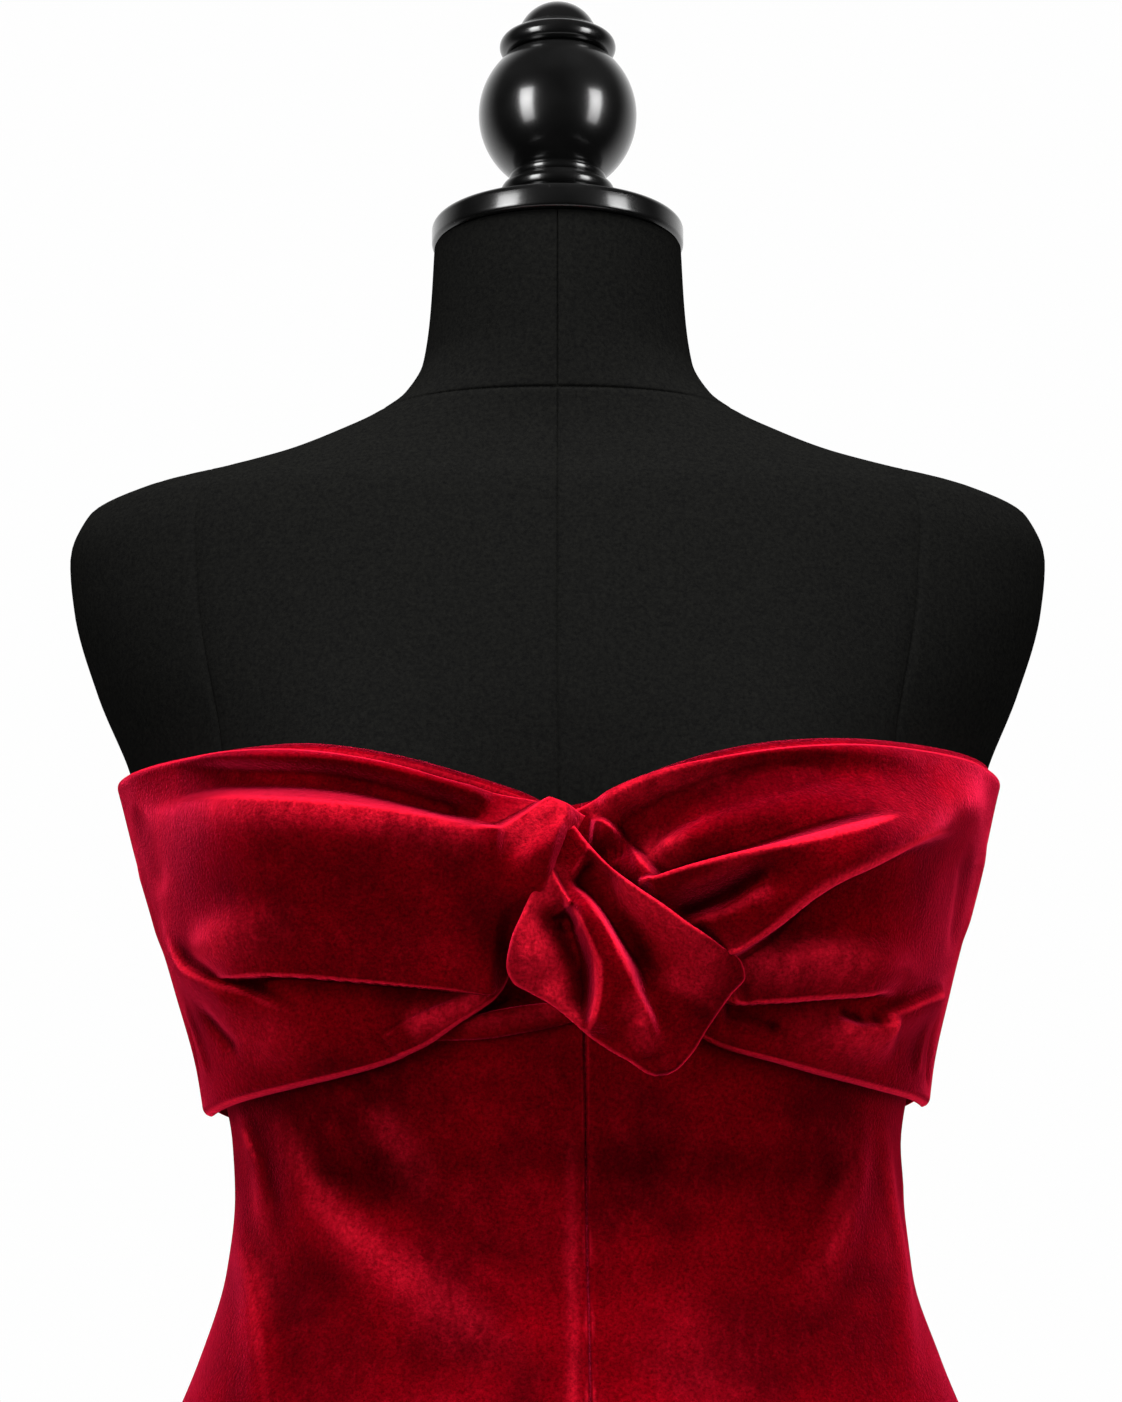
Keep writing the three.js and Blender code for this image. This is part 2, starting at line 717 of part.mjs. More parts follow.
const model = new THREE.Group();
model.add(standBase(), standPole(), poleCollar(), hipBoard(), torso(), neckCap(), finial());
model.add(
  panel("dress_front_right", RIGHT_SIDE, CENTRE_FRONT, 13),
  panel("dress_front_left", CENTRE_FRONT, LEFT_SIDE, 14),
  panel("dress_back_left", LEFT_SIDE, CENTRE_BACK, 12),
  panel("dress_back_right", CENTRE_BACK, RIGHT_SIDE + 360, 12),
  strip("band_left", BAND_LEFT_RIBS, 26, 10, leftLift, [true, false]),
  strip("band_right", BAND_RIGHT_RIBS, 24, 10, rightLift, [true, false]),
  strip("band_back_left", BAND_BACK_LEFT_RIBS, 12, 4, backLift, [true, true]),
  strip("band_back_right", BAND_BACK_RIGHT_RIBS, 12, 4, backLift, [true, true]),
  strip("tie_tail", TAIL_RIBS, 14, 14, tailLift),
  strip("tie_strip", STRIP_RIBS, 8, 2, stripLift),
  zipSlider(),
  zipPull(),
);

export default model;
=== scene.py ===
import math

import bpy
import numpy as np
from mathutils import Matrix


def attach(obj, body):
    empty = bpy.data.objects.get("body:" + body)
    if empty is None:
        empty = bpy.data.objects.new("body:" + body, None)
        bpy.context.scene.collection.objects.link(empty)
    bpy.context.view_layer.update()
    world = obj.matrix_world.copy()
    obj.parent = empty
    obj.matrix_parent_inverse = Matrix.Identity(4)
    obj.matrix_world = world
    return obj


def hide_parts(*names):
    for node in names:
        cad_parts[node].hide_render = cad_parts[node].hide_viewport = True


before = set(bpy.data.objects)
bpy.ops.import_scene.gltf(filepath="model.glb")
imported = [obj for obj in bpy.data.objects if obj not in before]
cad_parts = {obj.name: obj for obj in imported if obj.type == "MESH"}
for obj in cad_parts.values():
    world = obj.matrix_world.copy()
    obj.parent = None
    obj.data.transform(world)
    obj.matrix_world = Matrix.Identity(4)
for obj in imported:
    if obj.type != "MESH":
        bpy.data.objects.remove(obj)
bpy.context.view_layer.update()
scene = bpy.context.scene

# ---- camera ----
# A long lens at waist height, in front of the form and tilted up at the bust.

IMAGE_HEIGHT = 1402
FOCAL_PIXELS = 3689
SENSOR = 36
AIM_HEIGHT = 1.230
CAMERA_DISTANCE = 1.5
TILT = math.radians(13)
CAMERA_SIDE = 0.0014

lens = bpy.data.cameras.new("camera")
lens.sensor_width = SENSOR
lens.lens = SENSOR * FOCAL_PIXELS / IMAGE_HEIGHT
camera = bpy.data.objects.new("camera", lens)
camera.location = (
    CAMERA_SIDE,
    -CAMERA_DISTANCE * math.cos(TILT),
    AIM_HEIGHT - CAMERA_DISTANCE * math.sin(TILT),
)
camera.rotation_euler = (math.pi / 2 + TILT, 0, 0)
scene.collection.objects.link(camera)
scene.camera = camera

# ---- studio ----
# A bright white wall behind the form, a dark room in front of it, two tall soft boxes either side of
# the camera, one soft light above, two thin strips behind that rim the edges, and a pale floor.

scene.view_settings.view_transform = "Standard"

MM = 0.001


def linear(hex_colour):
    """An sRGB hex colour as linear red, green, blue and alpha."""
    channels = [int(hex_colour[i : i + 2], 16) / 255 for i in (1, 3, 5)]
    curve = [c / 12.92 if c <= 0.04045 else ((c + 0.055) / 1.055) ** 2.4 for c in channels]
    return (*curve, 1)


def add(tree, kind, settings=None, inputs=None):
    """Adds one shader node. Each of its inputs is a value, or the output that feeds it."""
    node = tree.nodes.new("ShaderNode" + kind)
    for name, value in (settings or {}).items():
        setattr(node, name, value)
    for socket, source in (inputs or {}).items():
        if isinstance(source, bpy.types.NodeSocket):
            tree.links.new(source, node.inputs[socket])
        else:
            node.inputs[socket].default_value = source
    return node


def ranged(tree, factor, low, high, to_low=0, to_high=1, curve="LINEAR"):
    """A factor stretched so that low and high become two new values, and held between them."""
    node = add(
        tree,
        "MapRange",
        {"interpolation_type": curve},
        {"Value": factor, "From Min": low, "From Max": high, "To Min": to_low, "To Max": to_high},
    )
    return node.outputs["Result"]


def laid_over(tree, factor, under, over, how="MIX"):
    """One colour laid over another by a factor."""
    node = add(tree, "Mix", {"data_type": "RGBA", "blend_type": how}, {0: factor, 6: under, 7: over})
    return node.outputs[2]


def between(tree, factor, low, high, dark, light):
    """A colour that goes from dark to light as the factor goes from low to high."""
    return laid_over(tree, ranged(tree, factor, low, high), linear(dark), linear(light))


def grain(tree, size_mm, detail=2.0, stretch=(1, 1, 1), roughness=0.5):
    """Noise whose clots are about this many millimetres across, drawn out along an axis."""
    spot = add(tree, "TexCoord").outputs["Object"]
    scale = tuple(1 / (size_mm * MM * s) for s in stretch)
    sized = add(tree, "Mapping", inputs={"Vector": spot, "Scale": scale}).outputs["Vector"]
    clots = {"Vector": sized, "Scale": 1, "Detail": detail, "Roughness": roughness}
    return add(tree, "TexNoise", inputs=clots).outputs["Fac"]


def finish(name, colour, values):
    """A material whose colour comes from a function of its node tree."""
    material = bpy.data.materials.new(name)
    material.use_nodes = True
    tree = material.node_tree
    skin = tree.nodes["Principled BSDF"]
    for socket, value in values.items():
        skin.inputs[socket].default_value = value
    tree.links.new(colour(tree), skin.inputs["Base Color"])
    return material


WALL_BEHIND = 1.2
ROOM_IN_FRONT = 0.012

world = bpy.data.worlds.new("studio")
world.use_nodes = True
scene.world = world
sky = world.node_tree
sky.nodes.clear()
direction = add(sky, "TexCoord").outputs["Generated"]
depth = add(sky, "SeparateXYZ", inputs={"Vector": direction}).outputs["Y"]
wall = ranged(sky, depth, 0.1, 0.85, ROOM_IN_FRONT, WALL_BEHIND, "SMOOTHSTEP")
room = add(sky, "Background", inputs={"Strength": wall})
seen = add(sky, "Background", inputs={"Color": linear("#FEFEFE"), "Strength": 1.0})
by_camera = add(sky, "LightPath").outputs["Is Camera Ray"]
shown = add(sky, "MixShader", inputs={0: by_camera, 1: room.outputs[0], 2: seen.outputs[0]})
add(sky, "OutputWorld", inputs={"Surface": shown.outputs[0]})

GRID_SPREAD = math.radians(75)


def soft_box(name, place, aim, size, watts, mirrored=True):
    """A rectangular area light with a grid on it, which keeps its light off the floor.

    One that isn't mirrored is flagged off, so that the lacquer shows the two boxes in front alone.
    """
    light = bpy.data.lights.new(name, "AREA")
    light.spread = GRID_SPREAD
    light.shape = "RECTANGLE"
    light.size, light.size_y = size
    light.energy = watts
    lamp = bpy.data.objects.new(name, light)
    lamp.location = place
    lamp.visible_camera = False
    lamp.visible_glossy = mirrored
    way = np.array(aim) - np.array(place)
    lamp.rotation_euler = (
        math.atan2(math.hypot(way[0], way[1]), -way[2]),
        0,
        math.atan2(way[1], way[0]) - math.pi / 2,
    )
    scene.collection.objects.link(lamp)


BUST_CENTRE = (0, 0, 1.15)
soft_box("soft_box_left", (-1.45, -1.45, 1.42), BUST_CENTRE, (0.7, 1.7), 9.5)
soft_box("soft_box_right", (1.75, -1.2, 1.42), BUST_CENTRE, (0.7, 1.7), 8)
soft_box("soft_box_above", (0, -0.65, 2.65), BUST_CENTRE, (1.3, 0.8), 29, mirrored=False)
soft_box("rim_strip_left", (-1.5, 0.75, 1.1), BUST_CENTRE, (0.3, 1.7), 3.5, mirrored=False)
soft_box("rim_strip_right", (1.5, 0.75, 1.1), BUST_CENTRE, (0.3, 1.7), 3.5, mirrored=False)

FLOOR_REACH = 1.1
floor_mesh = bpy.data.meshes.new("floor")
floor_mesh.from_pydata(
    [(x * FLOOR_REACH, y * FLOOR_REACH, -0.0005) for x, y in ((-1, -1), (1, -1), (1, 1), (-1, 1))],
    [],
    [(0, 1, 2, 3)],
)
floor = bpy.data.objects.new("floor", floor_mesh)
scene.collection.objects.link(floor)


# Painted studio floor: a smooth matt grey-white with faint roller clouds.
def paint_colour(tree):
    return between(tree, grain(tree, 600), 0, 1, "#CDCDCD", "#D6D6D6")


floor_mesh.materials.append(finish("matt_floor_paint", paint_colour, {"Roughness": 0.7}))

# ---- stand: base, pole and collar ----
# A spun steel base in black lacquer, a bright steel tube and a lacquered collar under the hip board.
# Each is turned, so each is one profile of radius and height spun about the upright axis.

ROOT = "dress_on_form"
FIT_GAP = 0.3
BASE_RADIUS = 165
BASE_HEIGHT = 14
POLE_RADIUS = 14
SOCKET_FLOOR = 5
BOSS_HEIGHT = 35
BOSS_RADIUS = 25
HIP_HEIGHT = 810
BOARD_THICKNESS = 14


def make_object(name, points, faces, material):
    """A mesh object from points in millimetres."""
    mesh = bpy.data.meshes.new(name)
    mesh.from_pydata((np.asarray(points) * MM).tolist(), [], faces)
    mesh.validate()
    mesh.polygons.foreach_set("use_smooth", [True] * len(mesh.polygons))
    mesh.materials.append(material)
    piece = bpy.data.objects.new(name, mesh)
    scene.collection.objects.link(piece)
    return piece


def sharpen(piece, degrees):
    """Shades smooth across soft edges and crisp across sharp ones."""
    piece.data.set_sharp_from_angle(angle=math.radians(degrees))


def arc(radius, z, bulge, start, end, steps):
    """Points of a round stretch of a profile, from one angle to another, in degrees."""
    angles = np.radians(np.linspace(start, end, steps + 1))
    return [(radius + bulge * math.cos(a), z + bulge * math.sin(a)) for a in angles]


def turned(name, profile, material, sides=128):
    """Spins a profile that starts and ends on the axis, or closes on itself, into a closed piece."""
    points = []
    rings = []
    for radius, z in profile:
        first = len(points)
        if radius < 1e-6:
            points.append((0, 0, z))
            rings.append([first] * sides)
            continue
        for k in range(sides):
            angle = 2 * math.pi * k / sides
            points.append((radius * math.cos(angle), radius * math.sin(angle), z))
        rings.append(list(range(first, first + sides)))
    faces = []
    for low, high in zip(rings, rings[1:]):
        for k in range(sides):
            n = (k + 1) % sides
            corners = [low[k], low[n], high[n], high[k]]
            faces.append([c for i, c in enumerate(corners) if c != corners[i - 1]])
    piece = make_object(name, points, faces, material)
    sharpen(piece, 35)
    return piece


def bump(tree, height, distance, strength=1.0):
    """Feeds a height into the finish's normal, for relief of a given depth in metres."""
    relief = add(tree, "Bump", inputs={"Height": height, "Distance": distance, "Strength": strength})
    tree.links.new(relief.outputs["Normal"], tree.nodes["Principled BSDF"].inputs["Normal"])


# Black nitrocellulose lacquer on turned wood and steel: a wet, deep gloss with very faint dust.
def lacquer_colour(tree):
    dust = grain(tree, 0.8, detail=3)
    bump(tree, dust, 0.00002, 0.25)
    return between(tree, grain(tree, 25), 0.35, 0.65, "#040404", "#0A0A0A")


black_lacquer = finish(
    "black_lacquer",
    lacquer_colour,
    {"Roughness": 0.22, "IOR": 1.5, "Coat Weight": 0.5, "Coat Roughness": 0.12},
)

base = turned(
    "turned_base",
    [
        (0, 0),
        (BASE_RADIUS - 2, 0),
        (BASE_RADIUS, 2),
        *arc(BASE_RADIUS - 5, BASE_HEIGHT - 7, 5, 0, 75, 8),
        (110, BASE_HEIGHT - 0.6),
        (60, BASE_HEIGHT + 1),
        (42, BASE_HEIGHT + 2.4),
        (34, BASE_HEIGHT + 4.5),
        (29, BASE_HEIGHT + 7.5),
        (27, BASE_HEIGHT + 11),
        *arc(BOSS_RADIUS - 2.5, BOSS_HEIGHT - 2.5, 2.5, 0, 90, 5),
        (POLE_RADIUS + FIT_GAP, BOSS_HEIGHT),
        (POLE_RADIUS + FIT_GAP, SOCKET_FLOOR),
        (0, SOCKET_FLOOR),
    ],
    black_lacquer,
)
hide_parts("stand_base")
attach(base, ROOT)

board_bottom = HIP_HEIGHT - FIT_GAP - BOARD_THICKNESS
collar_top = board_bottom - FIT_GAP
COLLAR_RADIUS = 22.5
COLLAR_FLANGE = 34
COLLAR_HEIGHT = 34
collar = turned(
    "turned_collar",
    [
        (POLE_RADIUS + FIT_GAP, collar_top - COLLAR_HEIGHT),
        *arc(COLLAR_RADIUS - 2, collar_top - 32, 2, -90, 0, 4),
        (COLLAR_RADIUS, collar_top - 8),
        (COLLAR_RADIUS + 2.5, collar_top - 6.4),
        (COLLAR_RADIUS + 7, collar_top - 5.2),
        *arc(COLLAR_FLANGE - 1.5, collar_top - 3.5, 1.5, -90, 0, 4),
        (COLLAR_FLANGE, collar_top),
        (POLE_RADIUS + FIT_GAP, collar_top),
        (POLE_RADIUS + FIT_GAP, collar_top - COLLAR_HEIGHT),
    ],
    black_lacquer,
)
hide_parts("pole_collar")
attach(collar, ROOT)


# Drawn steel tube, brushed along its length and bright-plated.
def steel_colour(tree):
    lines = grain(tree, 0.6, stretch=(1, 1, 60))
    bump(tree, lines, 0.00003, 0.4)
    return between(tree, lines, 0.3, 0.7, "#8E9092", "#B4B6B8")


drawn_steel = finish("drawn_steel", steel_colour, {"Metallic": 1.0, "Roughness": 0.28})

pole = turned(
    "steel_pole",
    [
        (0, SOCKET_FLOOR + FIT_GAP),
        (POLE_RADIUS, SOCKET_FLOOR + FIT_GAP),
        (POLE_RADIUS, HIP_HEIGHT - 2 * FIT_GAP),
        (0, HIP_HEIGHT - 2 * FIT_GAP),
    ],
    drawn_steel,
    sides=64,
)
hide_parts("stand_pole")
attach(pole, ROOT)


# ---- hip board ----
# A birch plywood board, stained dark, that closes the form's hip and carries it on the collar.
# It stays as the frame has it: a flat sawn piece.
def board_colour(tree):
    plies = grain(tree, 3.5, detail=3, stretch=(14, 1, 1))
    bump(tree, plies, 0.0002, 0.4)
    return between(tree, plies, 0.3, 0.7, "#33231A", "#4A3527")


stained_birch = finish("stained_birch", board_colour, {"Roughness": 0.55, "IOR": 1.5})
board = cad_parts["hip_board"]
board.data.materials.clear()
board.data.materials.append(stained_birch)

# ---- form: the padded torso ----
# A fibreglass shell padded with wadding and covered in black jersey. The cover is cut in gores that
# meet in plain seams down the front, back and sides, and a separate neck is sewn on round its foot.

# Horizontal sections of the body: height, half width, depth in front, depth behind, squareness, and
# how far the section stands off the pole's axis. Millimetres.
WIDTH, FRONT, BACK, SQUARE, SHIFT = range(1, 6)
UPPER_BODY = [
    (1424, 51.5, 50, 52, 2.0, 0),
    (1395, 53, 53, 54, 2.0, 0),
    (1372, 56, 55, 58, 2.0, 0),
    (1356, 65, 57, 64, 2.05, 0),
    (1345, 80, 59, 69, 2.1, 0),
    (1336, 99, 61, 74, 2.15, 0),
    (1327, 122, 64, 79, 2.2, 0),
    (1319, 150, 68, 84, 2.25, 0),
    (1312, 177, 72, 88, 2.3, 0),
    (1303, 193, 78, 93, 2.35, 0),
    (1286, 199, 85, 99, 2.4, 0),
    (1264, 196.5, 93, 104, 2.4, 0),
    (1230, 186, 104, 109, 2.4, 0),
    (1198, 172.5, 112, 109, 2.35, 0.3),
    (1156, 161, 116, 105, 2.3, 1),
    (1110, 146, 110, 98, 2.25, 2),
    (1075, 134.5, 103, 93, 2.2, 3),
    (1050, 129.5, 98, 90, 2.15, 3.6),
    (1028, 128.5, 95, 89, 2.1, 4),
    (1000, 131.5, 95, 92, 2.1, 4.4),
    (966, 142, 98, 101, 2.1, 5),
]
FORM_HIPS = [
    (940, 149.5, 101, 109, 2.1, 5),
    (900, 160, 105, 121, 2.15, 4),
    (850, 169, 109, 129, 2.2, 2),
    (HIP_HEIGHT, 171, 110, 131, 2.2, 0),
]
BUST_APART = 168
BUST_HEIGHT = 1146
BUST_WIDE = 48
BUST_ABOVE = 58
BUST_BELOW = 40
NECK_TOP = 1423


def smooth(value, start, end):
    """Goes softly from 0 where the value is start to 1 where it is end."""
    s = np.clip((value - start) / (end - start), 0, 1)
    return s * s * (3 - 2 * s)


def along(table, place, column):
    """One column of a table at these places of its first, on a curve that never swings past a row."""
    rows = np.array(sorted(table), float)
    at, value = rows[:, 0], rows[:, column]
    step = np.diff(value) / np.diff(at)
    total = step[:-1] + step[1:]
    product = step[:-1] * step[1:]
    middle = np.where(product > 0, 2 * product / np.where(total == 0, 1, total), 0)
    slope = np.concatenate([step[:1], middle, step[-1:]])
    place = np.clip(place, at[0], at[-1])
    i = np.clip(np.searchsorted(at, place, "right") - 1, 0, len(at) - 2)
    span = np.diff(at)[i]
    s = (place - at[i]) / span
    rise = s * s * (3 - 2 * s)
    start = slope[i] * span * (s - 2 * s**2 + s**3)
    end = slope[i + 1] * span * (s**3 - s**2)
    return value[i] * (1 - rise) + value[i + 1] * rise + start + end


def surface(body, bust_depth, flute, turn, z):
    """Points on the body: turn 0 is the +X side, 90 the front, 180 the -X side, 270 the back."""
    c, s = np.cos(np.radians(turn)), np.sin(np.radians(turn))
    width = along(body, z, WIDTH)
    depth = np.where(s >= 0, along(body, z, FRONT), along(body, z, BACK))
    power = along(body, z, SQUARE)
    reach = (np.abs(c / width) ** power + np.abs(s / depth) ** power) ** (-1 / power) + flute
    x = reach * c
    tall = np.where(z > BUST_HEIGHT, BUST_ABOVE, BUST_BELOW)
    cup = 0
    for side in (-1, 1):
        across = (x - side * BUST_APART / 2) / BUST_WIDE
        cup = cup + np.exp(-(across**2) - ((z - BUST_HEIGHT) / tall) ** 2)
    fullness = np.clip(3 * s, 0, 1)
    return np.stack([x + along(body, z, SHIFT), -reach * s - bust_depth * cup * fullness], -1)


NUDGE = 0.1


def lifted(ground, turn, z, lift):
    """Moves points of a surface out along their section's normal, and gives them their height."""
    here = ground(turn, z)
    way = ground(turn + NUDGE, z) - ground(turn - NUDGE, z)
    out = np.stack([-way[..., 1], way[..., 0]], -1)
    out /= np.linalg.norm(out, axis=-1, keepdims=True)
    out *= np.where((out * here).sum(-1, keepdims=True) < 0, -1, 1)
    place = here + out * np.asarray(lift)[..., None]
    return np.concatenate([place, np.broadcast_to(z, turn.shape)[..., None]], -1)


FORM_BUST = 21.5


def form_ground(turn, z):
    """The form's cover, from the hips to the neck."""
    return surface(UPPER_BODY + FORM_HIPS, FORM_BUST, 0, turn, z)


# The gores' seams, as height and turn down each one. The neck's seam rises a little at the sides.
PRINCESS_RIGHT = [(810, 38), (1000, 36), (1198, 32.5), (1255, 28), (1284, 25), (1308, 21.5), (1320, 12)]
PRINCESS_LEFT = [(z, 180 - turn) for z, turn in PRINCESS_RIGHT]
NECK_SEAM = 1345
SEAM_RISES = 2.5
SEAM_DEEP = 0.7
SEAM_HALF = 0.9
TURN_PER_MM = 0.45
COLUMNS_BETWEEN = 26
NECK_GROOVE = 1.3
NECK_GROOVE_HALF = 0.7

# A groove from its line outwards: how far in half widths, and how deep there.
GROOVE = [(0, 1), (0.5, 0.55), (1.2, 0)]


def seam_turns(z):
    """The turn of every upright seam at these heights, in order round the form."""
    right = along(PRINCESS_RIGHT, z, 1)
    left = along(PRINCESS_LEFT, z, 1)
    flat = np.ones_like(z)
    behind = [-90 * flat, -50 * flat, -8 * flat]
    return [*behind, right, 90 * flat, left, 188 * flat, 230 * flat, 270 * flat]


def form_rows():
    """Heights of the form's rings, close together at the shoulder and at the neck's seam."""
    body = np.linspace(HIP_HEIGHT, 1290, 120)
    shoulder = np.linspace(1293, NECK_SEAM - 2.5, 38)
    seam = NECK_SEAM + np.array([-1.4, -0.8, -0.3, 0.3, 0.8, 1.4])
    neck = np.linspace(NECK_SEAM + 2.5, NECK_TOP, 34)
    return np.concatenate([body, shoulder, seam, neck])


def gore_columns(seams):
    """Every column of the cover, from seam to seam: its turn at each height, and its groove."""
    columns = []
    half = SEAM_HALF * TURN_PER_MM
    for near, far in zip(seams, seams[1:]):
        columns += [(near + away * half, deep) for away, deep in GROOVE]
        for k in range(1, COLUMNS_BETWEEN):
            columns.append((near + (far - near) * k / COLUMNS_BETWEEN, 0))
        columns += [(far - away * half, deep) for away, deep in reversed(GROOVE[1:])]
    return columns


def make_form():
    """The cover's points and faces. Above the neck's seam only the centre seams go on."""
    heights = form_rows()
    turns, grooves = zip(*gore_columns(seam_turns(heights)))
    turn = np.stack(turns, 1)
    rows, wide = turn.shape
    z = np.repeat(heights[:, None], wide, 1)
    sides = 1 - np.clip(np.sin(np.radians(turn)), 0, 1)
    z = z + SEAM_RISES * sides * smooth(z, 1300, 1340) * smooth(z, NECK_TOP, NECK_TOP - 40)
    below_neck = (heights < NECK_SEAM)[:, None]
    on_centre = (np.abs(turn - 90) < 1) | (np.abs(turn + 90) < 1)
    upright = np.where(below_neck | on_centre, np.array(grooves), 0)
    round_neck = NECK_GROOVE * np.exp(-(((heights - NECK_SEAM) / NECK_GROOVE_HALF) ** 2))[:, None]
    points = lifted(form_ground, turn, z, -SEAM_DEEP * np.maximum(upright, round_neck))
    faces = []
    for j in range(rows - 1):
        for i in range(wide):
            n = (i + 1) % wide
            faces.append((j * wide + i, j * wide + n, (j + 1) * wide + n, (j + 1) * wide + i))
    faces.append(tuple(range(wide))[::-1])
    faces.append(tuple((rows - 1) * wide + i for i in range(wide)))
    return points.reshape(-1, 3), faces


# Black cotton jersey, stretched tight: matt, with a fine rib too small to see and a little lint.
# The real rib is 0.8 mm and is drawn at 1.6 mm, because it would vanish in the render.
def jersey_colour(tree):
    threads = grain(tree, 1.6, detail=3, roughness=0.7)
    bump(tree, threads, 0.00025, 0.5)
    return between(tree, threads, 0.3, 0.7, "#060606", "#0C0C0B")


black_jersey = finish(
    "black_cotton_jersey",
    jersey_colour,
    {"Roughness": 0.95, "Specular IOR Level": 0.0},
)

form = make_object("form_cover", *make_form(), black_jersey)
sharpen(form, 50)
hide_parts("form_torso")
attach(form, ROOT)

# ---- neck cap and finial ----
# A lacquered wooden disc closes the neck, and a turned finial is screwed down on it: a ball on two
# small beads, with a ring and a dome above.

CAP_RADIUS = 52.6
CAP_THICKNESS = 11
CAP_BOTTOM = NECK_TOP + FIT_GAP
CAP_TOP = CAP_BOTTOM + CAP_THICKNESS
cap = turned(
    "turned_neck_cap",
    [
        (0, CAP_BOTTOM),
        (CAP_RADIUS - 3.5, CAP_BOTTOM),
        *arc(CAP_RADIUS - 2.5, CAP_BOTTOM + 2.5, 2.5, -75, 0, 6),
        *arc(CAP_RADIUS - 3, CAP_TOP - 3, 3, 0, 85, 8),
        (30, CAP_TOP),
        (0, CAP_TOP),
    ],
    black_lacquer,
    sides=160,
)
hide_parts("neck_cap")
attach(cap, ROOT)

FOOT = CAP_TOP + FIT_GAP
finial = turned(
    "turned_finial",
    [
        (0, FOOT),
        (28, FOOT),
        *arc(26.6, FOOT + 1.6, 1.4, -20, 60, 4),
        (24.5, FOOT + 4.6),
        (22, FOOT + 7),
        (21, FOOT + 9),
        *arc(20, FOOT + 14, 4, -70, 80, 12),
        *arc(17.5, FOOT + 20.5, 2.8, -60, 60, 9),
        *arc(0, FOOT + 49, 33.3, -55, 52, 48),
        (18.9, FOOT + 75.4),
        *arc(20, FOOT + 79.5, 4.6, -70, 70, 14),
        *arc(0, FOOT + 82, 17.2, 18, 90, 20),
    ],
    black_lacquer,
    sides=160,
)
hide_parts("finial")
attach(finial, ROOT)

# ---- dress: four panels ----
# Silk-and-viscose velvet, cut as two front and two back panels from the hem to the neckline. They
# are sewn in plain seams at the centre front, the sides and the centre back, and hang from the bust.

CLOTH = 1.4
WEAR_GAP = 0.9
SEAM_GAP = 0.04
HEM_HEIGHT = 598
RIGHT_SIDE = -5
CENTRE_FRONT = 86
LEFT_SIDE = 185
CENTRE_BACK = 270
DRESS_BUST = 24
MM_PER_DEGREE = 2.05

SKIRT = [
    (940, 152.5, 103, 111, 2.1, 5),
    (900, 169, 112, 130, 2.1, 4.5),
    (850, 188, 126, 148, 2.1, 3.5),
    (800, 206, 139, 160, 2.1, 2.5),
    (750, 222, 151, 171, 2.1, 1.5),
    (700, 236, 161, 181, 2.1, 0.5),
    (650, 248, 170, 190, 2.1, 0),
    (HEM_HEIGHT, 258, 178, 197, 2.1, 0),
]

# Soft flutes of the skirt, which grow from the hip to the hem: turn, half width in degrees, and
# height at the hem in millimetres.
FLUTES = [
    (-15, 9, 15),
    (0, 7, -8),
    (17, 10, 9),
    (44, 11, -6),
    (66, 11, 9),
    (88, 9, -5),
    (110, 12, 10),
    (136, 11, -6),
    (162, 10, 9),
    (180, 7, -8),
    (195, 9, 15),
    (222, 13, -7),
    (246, 12, 11),
    (270, 9, -6),
    (296, 13, 12),
    (322, 11, -7),
]
FLUTES_START = 1000

# The neckline, a shallow sweetheart: turn and height.
NECKLINE = [
    (-90, 1176),
    (-60, 1180),
    (-25, 1191),
    (0, 1197),
    (15, 1196),
    (35, 1193),
    (50, 1188),
    (62, 1182.5),
    (75, 1173.5),
    (84, 1164.5),
    (90, 1162.5),
    (97, 1168),
    (108, 1175),
    (122, 1182.5),
    (136, 1188),
    (155, 1190.5),
    (170, 1193),
    (180, 1196),
    (205, 1190),
    (240, 1180),
    (270, 1176),
]


def dress_ground(turn, z):
    """What the dress is draped over: the body above the hips and the fluted skirt below."""
    flute = np.zeros(np.broadcast(turn, z).shape)
    for centre, wide, high in FLUTES:
        apart = (turn - centre + 180) % 360 - 180
        flute = flute + high * np.exp(-((apart / wide) ** 2))
    grown = smooth(z, FLUTES_START, HEM_HEIGHT)
    return surface(UPPER_BODY + SKIRT, DRESS_BUST, flute * grown, turn, z)


def flowing(path):
    """A smooth line through a few given points."""
    p = np.array([path[0], *path, path[-1]], float)
    t = np.linspace(0, 1, 7)[:-1, None]
    parts = []
    for a, b, c, d in zip(p, p[1:], p[2:], p[3:]):
        bend = 2 * a - 5 * b + 4 * c - d + t * (3 * (b - c) + d - a)
        parts.append(b + 0.5 * t * (c - a + t * bend))
    return np.concatenate([*parts, p[-1:]])


def widened(width, share):
    """A width at a share of a fold's length: one number, or what it is at the start and the end."""
    start, end = np.broadcast_to(width, 2)
    return start + (end - start) * share


